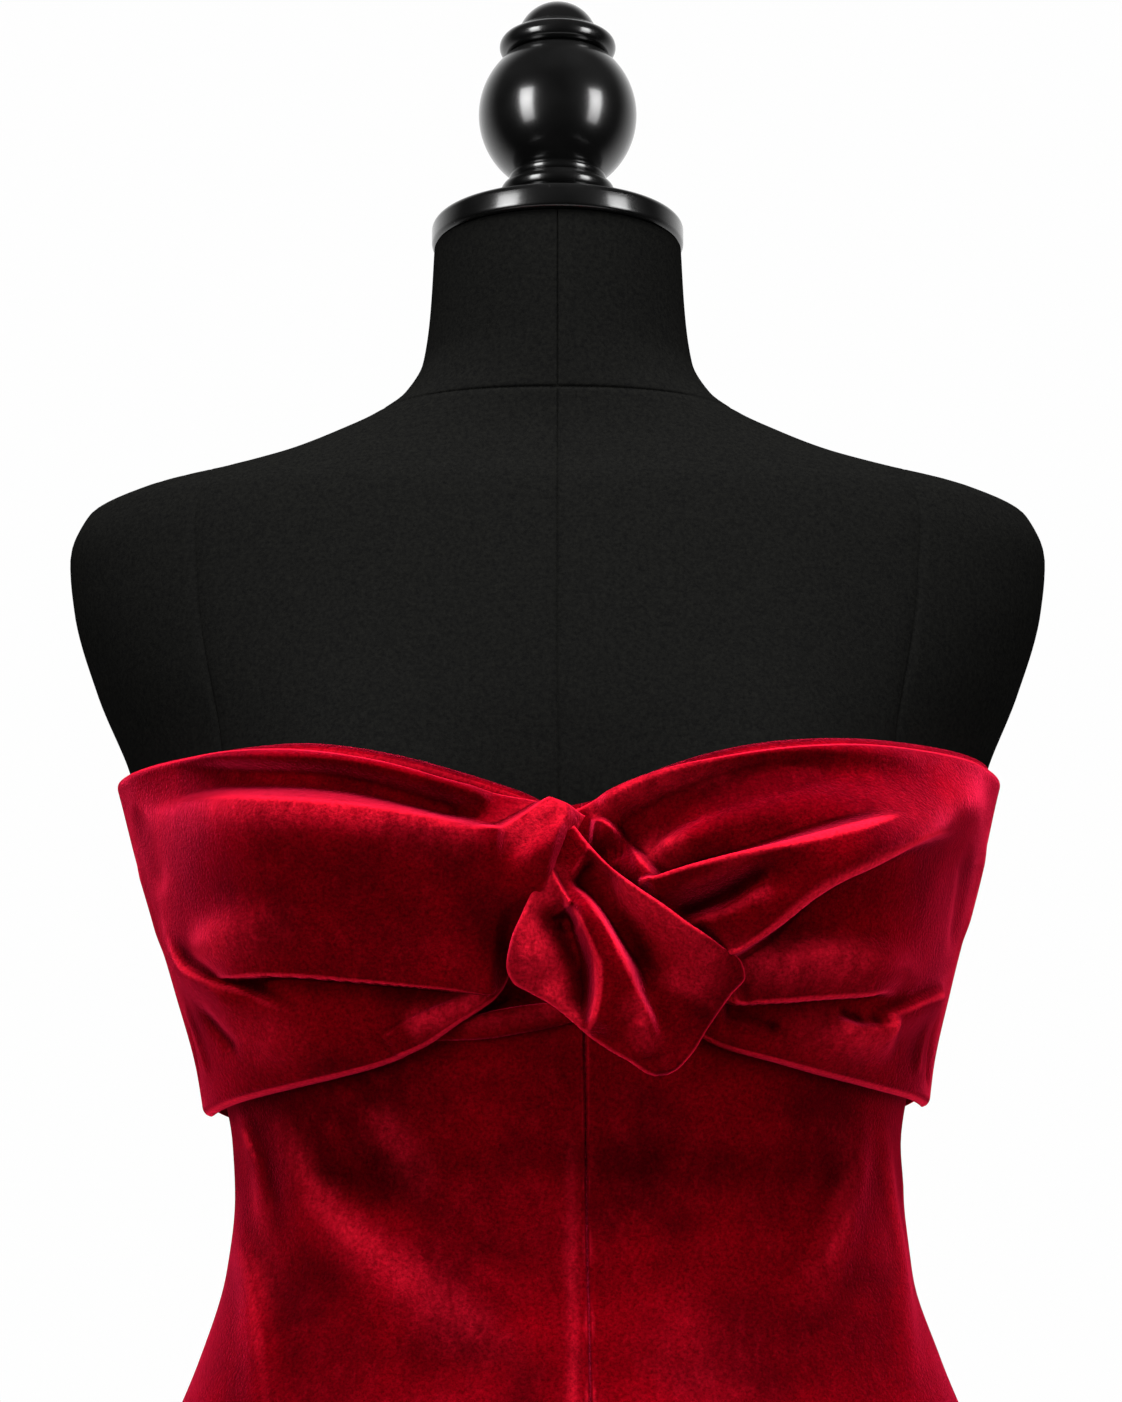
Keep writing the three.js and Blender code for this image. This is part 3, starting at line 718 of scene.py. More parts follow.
def folds(table, turn, z):
    """The height of a table of folds at these places of the cloth.

    Each row: height at the crest; width on the left of the line and on its right, as one walks it
    and looks from outside, each as one number or as (at its start, at its end); how much of its
    length it takes to rise and to fade; and its line as (turn, z) points. A fold with a negative
    height is a trough.
    """
    across = -turn * MM_PER_DEGREE
    total = np.zeros(np.shape(turn))
    for high, left, right, rise, fade, path in table:
        line = flowing([(-t * MM_PER_DEGREE, h) for t, h in path])
        step = np.diff(line, axis=0)
        length = np.hypot(*step.T)
        walked = np.concatenate([[0], np.cumsum(length)])
        best = np.full(np.shape(turn), 1e9)
        side = np.zeros(np.shape(turn))
        share = np.zeros(np.shape(turn))
        for (ax, az), (dx, dz), size, before in zip(line, step, length, walked):
            if size == 0:
                continue
            t = np.clip(((across - ax) * dx + (z - az) * dz) / size**2, 0, 1)
            away = np.hypot(across - ax - t * dx, z - az - t * dz)
            nearer = away < best
            cross = dx * (z - az) - dz * (across - ax)
            best = np.where(nearer, away, best)
            side = np.where(nearer, cross, side)
            share = np.where(nearer, (before + t * size) / walked[-1], share)
        wide = np.where(side > 0, widened(left, share), widened(right, share))
        ends = smooth(share, 0, rise) * smooth(share, 1, 1 - fade)
        total = total + high * np.exp(-((best / wide) ** 2)) * ends
    return total


def closer_at_ends(count, share):
    """Places from 0 to 1, of which this share crowds together towards both ends."""
    even = np.linspace(0, 1, count + 1)
    return (1 - share) * even + share * (0.5 - 0.5 * np.cos(np.pi * even))


def softened(grid, reach=2):
    """A grid of points, each averaged with its neighbours."""
    for axis in (0, 1):
        margin = [(reach, reach) if k == axis else (0, 0) for k in range(3)]
        padded = np.pad(grid, margin, "edge")
        count = grid.shape[axis]
        steps = [np.take(padded, range(k, k + count), axis) for k in range(2 * reach + 1)]
        grid = sum(steps) / len(steps)
    return grid


# Silk velvet with an upright pile about 1.5 mm tall. The pile drinks light that meets it head on and
# glows along every ridge and edge, so most of its brightness is sheen. Where it has been handled it
# leans over in paler clouds and strokes. Single tufts are 0.4 mm and are drawn at 1.3 mm, because they
# would vanish in the render.
# Besides the real sheen, the colour paints highlight on crests, folded edges and brushed patches, and
# paints shade in creases.
PILE_DARK = "#3A0003"
PILE_LIGHT = "#5A0005"
PILE_STROKED = "#760410"
# Painted highlight on crests and folded edges.
PILE_CREST_HIGHLIGHT = "#B81024"
# Brushed pile, also painted highlight along ridges and bright patches.
PILE_BRUSHED_HIGHLIGHT = "#A60E20"
PILE_SHEEN = "#EE244C"


def velvet_colour(tree):
    tufts = grain(tree, 1.3, detail=3, roughness=0.7)
    clouds = grain(tree, 38, detail=3)
    leaning = grain(tree, 14, stretch=(1, 1, 1.4))
    strokes = grain(tree, 5, detail=5, stretch=(1, 1, 1.8), roughness=0.65)
    crest = add(tree, "Attribute", {"attribute_name": "crest"}).outputs["Fac"]
    brushed_and_highlight = add(tree, "Attribute", {"attribute_name": "brushed_and_highlight"}).outputs["Fac"]

    def product(one, other):
        return add(tree, "Math", {"operation": "MULTIPLY"}, {0: one, 1: other}).outputs[0]

    # The pile at rest is darker and lighter in clouds, with paler strokes.
    colour = between(tree, clouds, 0.35, 0.7, PILE_DARK, PILE_LIGHT)
    stroked = ranged(tree, strokes, 0.45, 0.75, 0, 0.2, "SMOOTHSTEP")
    colour = laid_over(tree, stroked, colour, linear(PILE_STROKED))

    # Painted highlight on crests and folded edges, where the sheen glows, and paler brushed pile in patches
    # that is also painted highlight.
    crest_highlight = ranged(tree, crest, 0.28, 0.9, 0, 0.7)
    colour = laid_over(tree, crest_highlight, colour, linear(PILE_CREST_HIGHLIGHT))
    patches = ranged(tree, strokes, 0.3, 0.65, 0.35, 1)
    colour = laid_over(tree, product(brushed_and_highlight, patches), colour, linear(PILE_BRUSHED_HIGHLIGHT))

    # Tufts speckle it, and painted shade darkens it in creases, where the crest sinks below its
    # neighbourhood.
    speckle = ranged(tree, tufts, 0.2, 0.8, 0.3, 1.7)
    crease_shade = ranged(tree, crest, -0.55, 0, 0.25, 1)
    colour = laid_over(tree, 1.0, colour, product(speckle, crease_shade), "MULTIPLY")

    uneven = add(tree, "Math", {"operation": "MULTIPLY_ADD"}, {0: leaning, 1: 0.65, 2: tufts})
    bump(tree, uneven.outputs[0], 0.0007, 0.75)
    return colour


velvet = finish(
    "silk_velvet",
    velvet_colour,
    {
        "Roughness": 0.9,
        "Specular IOR Level": 0.0,
        "Sheen Weight": 1.0,
        "Sheen Roughness": 0.32,
        "Sheen Tint": linear(PILE_SHEEN),
    },
)

# The share of its thickness that a sheet keeps at an edge, the crest in millimetres that a folded edge
# counts as, so that it gets a crest's painted highlight, and the rounding in millimetres from which an
# edge is a folded one.
THIN_EDGE = 0.12
EDGE_HIGHLIGHT_CREST = 1.7
FOLDED_EDGE = 2.0


def rounded(inner, edge):
    """How full a sheet is at each point, from 0 at an edge to 1 where its rounding ends.

    The second answer is the same for the folded edges alone: those rounder than FOLDED_EDGE.
    """
    along_u = np.linalg.norm(np.diff(inner, axis=1, prepend=inner[:, :1]), axis=-1).cumsum(1)
    along_v = np.linalg.norm(np.diff(inner, axis=0, prepend=inner[:1]), axis=-1).cumsum(0)
    level = np.ones_like(along_u)
    rolled = np.ones_like(along_u)
    away = (along_u, along_u[:, -1:] - along_u, along_v, along_v[-1:] - along_v)
    for distance, radius in zip(away, edge):
        near = np.clip(distance / radius, 0, 1)
        falls = np.sqrt(np.clip(1 - (1 - near) ** 2, 0, 1))
        level = level * falls
        if radius > FOLDED_EDGE:
            rolled = rolled * falls
    return level, rolled


def sheet_faces(columns, rows):
    """Faces of two equal grids of points, one behind the other, joined round their rim."""
    wide = columns + 1
    behind = wide * (rows + 1)
    corner = (np.arange(rows)[:, None] * wide + np.arange(columns)[None, :]).ravel()
    front = np.stack([corner, corner + 1, corner + wide + 1, corner + wide], 1)
    ring = [np.arange(columns), np.arange(rows) * wide + columns]
    ring += [np.arange(columns, 0, -1) + rows * wide, np.arange(rows, 0, -1) * wide]
    loop = np.concatenate(ring)
    following = np.roll(loop, -1)
    rim = np.stack([following, loop, loop + behind, following + behind], 1)
    return np.concatenate([front, front[:, ::-1] + behind, rim])


def outward(points, faces):
    """Above zero when a closed mesh's faces point out."""
    a, b, c, d = (points[faces[:, k]] for k in range(4))
    return (a * np.cross(b, c)).sum() + (a * np.cross(c, d)).sum()


def remember(piece, name, values):
    """Gives every point of a sheet's outer side a value of its own, and 0 to the inner side."""
    layer = piece.data.attributes.new(name, "FLOAT", "POINT")
    layer.data.foreach_set("value", np.concatenate([values, 0 * values]))


def shell(name, place, sweep_and_highlight, columns, rows, thick, edge, crowd):
    """A thin closed sheet of velvet whose outer side rounds down to its inner one at every edge.

    place(u, v, out) gives its points at a distance out from its inner side. edge is the radius over
    which the four sides (start, end, bottom, top) round off. Each point remembers how far it stands
    out of its neighbourhood, in millimetres, as its crest: the colour paints highlight on a crest and
    shade in a hollow, and a folded edge counts as a crest of a set height, so it gets the painted
    highlight too. The third argument says how far the pile is brushed paler, from 0 to 1, and this is
    also painted highlight.
    """
    u, v = np.meshgrid(closer_at_ends(columns, crowd), closer_at_ends(rows, crowd))
    inner = place(u, v, np.zeros_like(u))
    level, rolled = rounded(inner, edge)
    outer = place(u, v, thick * np.maximum(level, THIN_EDGE))
    out_way = place(u, v, np.ones_like(u)) - inner
    # A folded edge counts as a crest, so it gets the painted highlight too.
    crest = ((outer - softened(outer)) * out_way).sum(-1) + EDGE_HIGHLIGHT_CREST * (1 - rolled)
    points = np.concatenate([outer.reshape(-1, 3), inner.reshape(-1, 3)])
    faces = sheet_faces(columns, rows)
    if outward(points, faces) < 0:
        faces = faces[:, ::-1]
    piece = make_object(name, points, faces.tolist(), velvet)
    # These values feed the velvet's painted highlight and painted shade.
    remember(piece, "crest", crest.ravel())
    remember(piece, "brushed_and_highlight", np.clip(sweep_and_highlight(u, v).ravel(), 0, 1))
    sharpen(piece, 75)
    return piece


# Drag lines and soft wrinkles of the panels, from the band down: see folds() for the columns.
FRONT_DRAGS = [
    (3.0, (8, 12), (10, 16), 0.25, 0.4,
     [(151, 1062), (147.5, 1029), (139.3, 1012), (128, 990), (114, 962)]),
    (2.4, (9, 14), (11, 16), 0.3, 0.4, [(140, 1024), (132.3, 1013), (116.4, 994), (102, 980), (91.8, 967)]),
    (2.0, (4, 5), (5, 7), 0.3, 0.4, [(166, 1062), (159.4, 1041), (157.5, 1025), (154.2, 1005)]),
    (2.6, (6, 9), (7, 10), 0.3, 0.5, [(172.5, 1022), (162.3, 1002), (155.5, 982), (147, 945), (140, 905)]),
    (0.7, (4, 5), (4, 5), 0.2, 0.6, [(135.7, 1064), (132.5, 1052), (127.2, 1040), (122, 1030)]),
    (2.6, (7, 10), (7, 10), 0.3, 0.4, [(29.3, 1064), (27.2, 1042), (29, 1023), (35.9, 998), (45, 970)]),
    (2.2, (5, 9), (6, 9), 0.3, 0.5, [(20.5, 1062), (12.9, 1010), (20, 975), (30, 930)]),
    (0.8, (8, 10), (8, 10), 0.3, 0.4, [(60, 1050), (66, 1030), (74, 1008), (80, 980)]),
    (1.4, (5, 7), (5, 7), 0.3, 0.5, [(6, 1050), (3, 1020), (5, 985)]),
    (2.4, (12, 18), (12, 18), 0.3, 0.5, [(50, 985), (58, 940), (56, 880), (60, 820)]),
    (2.2, (10, 16), (12, 18), 0.3, 0.5, [(124, 950), (120, 900), (126, 840), (122, 780)]),
]
BACK_DRAGS = [
    (2.6, (7, 11), (8, 12), 0.3, 0.4, [(206, 1062), (212, 1036), (221, 1014), (234, 990)]),
    (2.0, (6, 9), (6, 9), 0.3, 0.5, [(240, 1050), (246, 1022), (255, 1000), (262, 972)]),
    (2.4, (8, 13), (8, 13), 0.3, 0.4, [(334, 1060), (327, 1032), (318, 1010), (306, 984)]),
    (1.8, (5, 8), (6, 8), 0.3, 0.5, [(304, 1052), (296, 1028), (287, 1004), (279, 980)]),
    (1.6, (5, 7), (5, 7), 0.3, 0.5, [(196, 1020), (199, 990), (196, 950)]),
    (1.8, (5, 8), (5, 8), 0.3, 0.5, [(346, 1024), (342, 990), (346, 955)]),
    (2.2, (12, 18), (12, 18), 0.3, 0.5, [(232, 960), (236, 900), (230, 830)]),
    (2.2, (12, 18), (12, 18), 0.3, 0.5, [(308, 955), (304, 900), (309, 830)]),
]

# Paler brushed pile on the bodice, laid as painted highlight along its drag lines and beside the centre
# seam: long slanting strokes from the band down.
FRONT_BRUSHED_AND_HIGHLIGHTS = [
    (0.5, (4, 8), (7, 12), 0.2, 0.5,
     [(152, 1060), (146, 1036), (136, 1012), (122, 990), (104, 966), (92, 952)]),
    (0.35, (6, 9), (6, 9), 0.3, 0.5, [(132, 1058), (124, 1036), (118, 1016)]),
    (0.4, (5, 8), (5, 8), 0.3, 0.4, [(168, 1058), (162, 1030), (156, 1000), (150, 965)]),
    (0.2, (5, 7), (5, 7), 0.3, 0.5, [(34, 1060), (30, 1030), (36, 1000), (44, 970)]),
    (0.3, (5, 8), (5, 8), 0.3, 0.4, [(18, 1058), (14, 1020), (22, 980)]),
    (0.35, 3, 3, 0.3, 0.3, [(89.5, 1060), (89.5, 960), (89.5, 820)]),
    (0.15, (14, 20), (14, 20), 0.3, 0.5, [(70, 1000), (64, 940), (60, 880)]),
    (0.3, (14, 20), (14, 20), 0.3, 0.5, [(112, 960), (118, 900), (116, 820)]),
]
# The same on the back: paler brushed pile laid as painted highlight along the drag lines.
BACK_BRUSHED_AND_HIGHLIGHTS = [
    (0.4, (8, 12), (8, 12), 0.3, 0.5, [(206, 1060), (216, 1022), (232, 985)]),
    (0.35, (8, 12), (8, 12), 0.3, 0.5, [(334, 1058), (322, 1018), (306, 980)]),
    (0.3, (14, 20), (14, 20), 0.3, 0.5, [(240, 950), (246, 880), (242, 800)]),
    (0.3, (14, 20), (14, 20), 0.3, 0.5, [(300, 940), (294, 870), (298, 790)]),
]

# The panels' seams pucker below the bands: height and waves in millimetres, and their reach into the
# panel as a share of its width.
PUCKER = 0.22
PUCKER_WAVE = 5.3
PUCKER_WANDERS = 31
PUCKER_REACH = 0.03
BELOW_BANDS = 1060
DEEPEST_DIP = -0.5
PANEL_ROWS = 160
PANEL_EDGE = (1.6, 1.6, 1.2, 1.2)


def dress_panel(name, node, begin, end, drags, brushed_and_highlight, columns):
    """One panel, from seam to seam and from the hem to the neckline."""

    def spot(u, v):
        rough = begin + (end - begin) * u
        top = along(NECKLINE, np.where(rough > CENTRE_BACK, rough - 360, rough), 1)
        z = HEM_HEIGHT + (top - HEM_HEIGHT) * v
        radius = np.linalg.norm(dress_ground(rough, z), axis=-1)
        gap = np.degrees(SEAM_GAP / 2 / radius)
        return begin + gap + (end - begin - 2 * gap) * u, z

    def place(u, v, out):
        turn, z = spot(u, v)
        wave = np.sin(z / PUCKER_WAVE + 1.7 * np.sin(z / PUCKER_WANDERS))
        at_seam = np.exp(-((np.minimum(u, 1 - u) / PUCKER_REACH) ** 2))
        pucker = PUCKER * wave * at_seam * smooth(z, BELOW_BANDS, BELOW_BANDS - 40)
        height = np.maximum(folds(drags, turn, z) + pucker, DEEPEST_DIP)
        return lifted(dress_ground, turn, z, WEAR_GAP + height + out)

    # The paler brushed pile, which is also painted highlight.
    def sweep_and_highlight(u, v):
        return folds(brushed_and_highlight, *spot(u, v))

    piece = shell(name, place, sweep_and_highlight, columns, PANEL_ROWS, CLOTH, PANEL_EDGE, crowd=0.35)
    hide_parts(node)
    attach(piece, ROOT)


for name, node, begin, end, columns, flat, area in (
    ("panel_front_right", "dress_front_right", RIGHT_SIDE, CENTRE_FRONT, 110, (0.37, 0.625), 0.161),
    ("panel_front_left", "dress_front_left", CENTRE_FRONT, LEFT_SIDE, 118, (0.395, 0.63), 0.172),
):
    dress_panel(name, node, begin, end, FRONT_DRAGS, FRONT_BRUSHED_AND_HIGHLIGHTS, columns)

for name, node, begin, end in (
    ("panel_back_left", "dress_back_left", LEFT_SIDE, CENTRE_BACK),
    ("panel_back_right", "dress_back_right", CENTRE_BACK, RIGHT_SIDE + 360),
):
    dress_panel(name, node, begin, end, BACK_DRAGS, BACK_BRUSHED_AND_HIGHLIGHTS, 96)

# ---- bands: the folded lengths that cross the bust ----
# Each is a wide strip of the same velvet, folded double so that both long edges are rolls, and sewn
# into the side seams. The left one is pulled over the centre and turned under as the knot; the right
# one runs in underneath it in deep pleats. Two plain ones close the back.

LAYER_GAP = 0.5
BAND_UNDER = WEAR_GAP + CLOTH + LAYER_GAP
BAND_THICK = 3.0
ROLLED_EDGE = 3.6

# Ribs across each band: turn and height of the upper end, turn and height of the lower end.
TURN_TOP, HEIGHT_TOP, TURN_LOW, HEIGHT_LOW = range(1, 5)
LEFT_RIBS = [
    (LEFT_SIDE, 1194, LEFT_SIDE, 1065),
    (176, 1193, 176.5, 1060),
    (168, 1191, 169, 1058.5),
    (150, 1188.5, 152, 1060.5),
    (135, 1184, 138, 1063.5),
    (122, 1176.5, 127, 1067.5),
    (111, 1169.5, 118, 1073.5),
    (102, 1165.5, 110, 1083),
    (93, 1162.5, 103.5, 1091),
    (85, 1157, 101, 1097),
]
RIGHT_RIBS = [
    (RIGHT_SIDE, 1195, RIGHT_SIDE, 1070),
    (2, 1194.5, 3, 1064),
    (10, 1193, 10, 1062.5),
    (25, 1191.5, 24, 1063),
    (40, 1188, 38, 1065.5),
    (52, 1183, 49, 1069.5),
    (62, 1177.5, 60, 1075),
    (71, 1173, 68, 1084),
    (79, 1167.5, 76, 1098),
    (87.5, 1159.5, 85, 1112),
]
BACK_LEFT_RIBS = [
    (CENTRE_BACK, 1173, CENTRE_BACK, 1064),
    (242, 1177, 242, 1063),
    (213, 1186, 213, 1062),
    (LEFT_SIDE, 1194, LEFT_SIDE, 1065),
]
BACK_RIGHT_RIBS = [
    (RIGHT_SIDE, 1195, RIGHT_SIDE, 1070),
    (-33, 1186, -33, 1064),
    (-62, 1177, -62, 1063),
    (CENTRE_BACK - 360, 1173, CENTRE_BACK - 360, 1064),
]

# Lines of three creases, over which the cloth above them sags: turn and height.
LEFT_CREASE = [(153, 1103), (147.3, 1106), (138.8, 1105.5), (126, 1101.5), (114, 1098.5), (101, 1096)]
PLEAT_EDGE = [(63, 1105), (58, 1111), (53.5, 1119), (48.5, 1132), (41.8, 1144), (33, 1155), (25, 1161)]
WAIST_CREASE = [(62, 1093), (52, 1094.5), (43.7, 1097), (36.3, 1099), (31, 1097)]

LEFT_FOLDS = [
    # the rolled top edge, the hollow under it and the long bright ridge below that runs into the knot
    (9.0, 5, (6, 5), 0.4, 0.1,
     [(164, 1188), (148, 1184.5), (137, 1180), (124, 1174), (112, 1166), (102, 1161)]),
    (-12.5, (8, 6), (8, 4), 0.25, 0.14,
     [(166, 1182.5), (149.7, 1180), (137.4, 1174), (127.5, 1169), (116, 1162), (103, 1155)]),
    (8.5, (5, 3), (22, 20), 0.45, 0.08,
     [(158, 1171), (147, 1168), (131, 1159), (120.6, 1154), (110, 1150), (101, 1147)]),
    # the deep crease below the bust: a crisp lip with a dark pocket under it
    (4.5, (15, 26), 1.6, 0.25, 0.06, LEFT_CREASE),
    (-7.5, 1.5, (12, 7), 0.15, 0.2,
     [(151, 1101), (145, 1102), (138.8, 1102), (126, 1098), (114, 1095), (103, 1093)]),
    # the fine crease that swings down from the side
    (4.0, (3, 2.5), (10, 9), 0.35, 0.35,
     [(165, 1138), (162, 1122), (157.7, 1110), (149.4, 1101), (142, 1092), (132, 1079)]),
    (-1.8, 5, 2, 0.3, 0.4, [(161, 1122), (155, 1110), (147, 1101.5), (140, 1093)]),
    # the bright patch above the crease
    (4.0, (7, 8), (8, 9), 0.4, 0.5, [(160, 1110), (150, 1115), (140, 1118), (124, 1118)]),
    # the turned hem that shows at the flap's end
    (2.2, 1.3, (9, 6), 0.1, 0.1, [(124, 1076), (114, 1087), (104, 1095)]),
    # strain lines that curve round towards the knot
    (-3.2, (6, 5), (6, 5), 0.4, 0.3, [(124, 1147), (114, 1137), (107, 1122), (104, 1104)]),
    (-2.4, (6, 5), (6, 5), 0.4, 0.3, [(136, 1142), (124, 1130), (116, 1112)]),
    (2.2, 5, 5, 0.4, 0.3, [(120, 1142), (110, 1130), (103, 1112)]),
    # ripples down the side and dents at the lower corner
    (-2.4, (5, 6), (5, 6), 0.3, 0.3, [(166, 1178), (162, 1158), (160, 1138)]),
    (1.6, 4, 5, 0.3, 0.3, [(172, 1165), (171, 1140), (173, 1118)]),
    (-2.0, (4, 3), (4, 3), 0.4, 0.2, [(172, 1104), (171, 1088), (174, 1068)]),
    (1.6, 3, (4, 3), 0.4, 0.2, [(167, 1104), (164, 1088), (163, 1070)]),
    (-2.6, 4, 3, 0.4, 0.3, [(160, 1100), (155, 1086), (150, 1074)]),
    (2.0, 5, 7, 0.3, 0.3, [(148, 1080), (138, 1075), (126, 1077)]),
]

RIGHT_FOLDS = [
    # the rolled top edge with the long dark valley under it
    (9.0, 5, 6, 0.08, 0.5, [(84, 1158), (76, 1166), (64, 1174), (52, 1180), (40, 1184.5), (24, 1187)]),
    (-15.0, (7, 8), (9, 12), 0.1, 0.45,
     [(81, 1149), (75.9, 1150), (67.7, 1161), (57.2, 1171), (45.1, 1179), (34, 1182)]),
    # the short fold that comes out from behind the knot, with a hollow below it
    (8.0, (1.8, 2.2), (12, 9), 0.1, 0.1, [(84.5, 1155), (81, 1153), (77.8, 1148), (75, 1141), (71, 1131)]),
    (-2.0, 3, 4, 0.3, 0.3, [(82, 1147), (79.5, 1143.5), (78, 1139)]),
    (3.5, 6, 7, 0.4, 0.4, [(76, 1142), (70, 1145), (60, 1148)]),
    # the main pleat: a crisp upper edge near the knot that softens to a broad ridge at the side
    (12.0, (1.6, 2.2), (15, 13), 0.1, 0.3,
     [(75, 1129.5), (70, 1131.5), (61.5, 1136.5), (52.7, 1143.5), (43.5, 1154), (38, 1160)]),
    (8.0, (9, 14), (10, 14), 0.3, 0.4,
     [(49, 1147), (43, 1153), (36, 1161), (30, 1167), (20, 1177), (12, 1181)]),
    (-7.0, (9, 11), (1.6, 3), 0.1, 0.4, [(74, 1133), (61.5, 1140), (52.7, 1147), (44, 1158)]),
    # the hollow and the soft inner ridge on the pleat's face
    (-8.0, 4, (4, 5), 0.3, 0.4, [(71, 1118), (65, 1122.5), (60, 1127), (56, 1133), (52, 1140)]),
    (4.5, (3.5, 3), (6, 7), 0.2, 0.3, [(69, 1113), (65, 1116), (60, 1120), (56.5, 1126), (53, 1133)]),
    # the pleat's lower edge, with a dark pocket under it
    (8.0, (10, 7), (1.5, 2.2), 0.08, 0.3, PLEAT_EDGE),
    (-8.0, (1.6, 4), (10, 14), 0.08, 0.45,
     [(62, 1101), (57, 1107), (52.5, 1115), (47.5, 1128), (41, 1140), (34, 1149)]),
    # the bright roll along the waist side and the crease under it
    (8.0, (5, 9), (8, 9), 0.1, 0.45,
     [(64, 1102), (57, 1104), (49, 1106.5), (41, 1107.5), (32, 1106), (24, 1101)]),
    (3.5, 9, 1.5, 0.1, 0.3, WAIST_CREASE),
    (-6.0, 1.5, (8, 7), 0.1, 0.35, [(62, 1090.5), (52, 1092), (43.7, 1094.5), (36.8, 1096), (33, 1094)]),
    # the curl where the crease turns back, and the ridge that leaves it for the side
    (-2.5, 3, 4, 0.4, 0.4, [(41.5, 1091), (38.5, 1087.5), (36, 1088)]),
    (6.5, (3.5, 3), (7, 8), 0.3, 0.3, [(44, 1086), (39, 1082.5), (34, 1083.5), (30, 1087)]),
    (5.5, (3, 4), (9, 10), 0.15, 0.35, [(36, 1085.5), (31, 1090), (25, 1096), (18, 1102), (13, 1105)]),
    (-5.0, 3, (4, 5), 0.3, 0.3, [(61, 1089), (55, 1085), (48, 1080)]),
    # the pressed line from the folded bolt, ripples down the side and dents at the lower corner
    (0.5, 2.5, 2.5, 0.2, 0.3, [(40.5, 1187), (40, 1178), (41, 1168)]),
    (-3.0, 5, 5, 0.3, 0.3, [(19, 1160), (17, 1140), (15, 1118)]),
    (1.6, 4, 5, 0.3, 0.3, [(9, 1172), (7, 1148), (9, 1122)]),
    (-2.0, (4, 3), (4, 3), 0.4, 0.2, [(15, 1100), (13, 1084), (11, 1068)]),
    (1.6, 3, (4, 3), 0.4, 0.2, [(21, 1094), (20, 1080), (19, 1070)]),
    (1.8, 6, 6, 0.3, 0.3, [(50, 1080), (40, 1076), (28, 1077)]),
]

# How far the cloth above a crease sags down over it, in millimetres: see folds() for the columns.
LEFT_SAG = [
    (5.5, (9, 10), 1.8, 0.2, 0.06, LEFT_CREASE),
]
RIGHT_SAG = [
    (4.0, (8, 7), (1.8, 2), 0.1, 0.4, PLEAT_EDGE[:-1]),
    (5.0, 8, 1.8, 0.1, 0.3, WAIST_CREASE),
]

BACK_FOLDS = [
    (-2.2, (6, 7), (6, 7), 0.3, 0.4, [(188, 1176), (206, 1170), (228, 1164), (250, 1160)]),
    (2.6, (5, 6), (12, 14), 0.3, 0.4, [(188, 1160), (206, 1157), (230, 1150), (254, 1146)]),
    (-2.0, 4, (7, 8), 0.3, 0.5, [(264, 1096), (248, 1095), (230, 1100), (210, 1110)]),
    (1.8, (9, 10), 4, 0.3, 0.5, [(264, 1101), (248, 1100), (230, 1105), (210, 1115)]),
    (1.2, (6, 7), (6, 7), 0.4, 0.5, [(236, 1130), (222, 1126), (204, 1132)]),
    (-1.8, 4, 4, 0.4, 0.2, [(196, 1104), (199, 1088), (198, 1066)]),
    (-2.0, (6, 7), (6, 7), 0.3, 0.4, [(352, 1178), (334, 1172), (312, 1166), (290, 1162)]),
    (2.4, (12, 14), (5, 6), 0.3, 0.4, [(352, 1163), (334, 1158), (310, 1152), (286, 1147)]),
    (-1.8, (7, 8), 4, 0.3, 0.5, [(284, 1112), (300, 1108), (318, 1106), (340, 1108)]),
    (1.6, 4, (9, 10), 0.3, 0.5, [(284, 1117), (300, 1113), (318, 1111), (340, 1113)]),
    (1.3, (6, 7), (6, 7), 0.4, 0.5, [(276, 1084), (292, 1088), (308, 1084)]),
    (-1.8, 4, 4, 0.4, 0.2, [(344, 1102), (341, 1086), (343, 1066)]),
]

LOOSE = 2.2
HANGS_OFF = 6
HANGS_FROM = 1160
HANGS_OVER = 100


def loose(turn):
    """The bands lie loose at the front and back and snug at the sides."""
    return LOOSE * np.abs(np.sin(np.radians(turn)))


def stand_off(turn, z):
    """The lower part of a band hangs straight from the bust and doesn't nip in to the waist."""
    low = np.clip((HANGS_FROM - z) / HANGS_OVER, 0, 1) ** 1.7
    side = 0.35 + 0.65 * np.abs(np.cos(np.radians(turn))) ** 1.2
    return HANGS_OFF * low * np.where(np.sin(np.radians(turn)) < 0, np.maximum(side, 0.8), side)


def domed(share, power):
    """Full in the middle of a strip and nothing at its two edges."""
    return np.sin(np.pi * np.clip(share, 0, 1)) ** power


# The wrap stands up in front of the rolled top edge along this line: turn and height.
WRAP_CREST = [(80, 1176), (92, 1164), (99.5, 1155), (104, 1151), (110, 1150), (120, 1154), (135, 1165)]
WRAP_FOLDS = [
    # the shallow valley in its face, and the small ridge that runs up to its tip
    (-2.0, (5, 4), (6, 5), 0.3, 0.1, [(104, 1138), (98, 1144), (93, 1150), (88, 1155)]),
    (2.5, (4, 3.5), 5, 0.3, 0.05, [(99, 1134), (94.5, 1142), (90.5, 1148), (86, 1154)]),
]

# How full each band is in its middle, and how far the wrap stands up at the knot, in millimetres.
LEFT_FULLNESS = 9
RIGHT_FULLNESS = 8
BACK_FULLNESS = 3.2
WRAP_CLIMBS = 14
AT_SEAM = 14


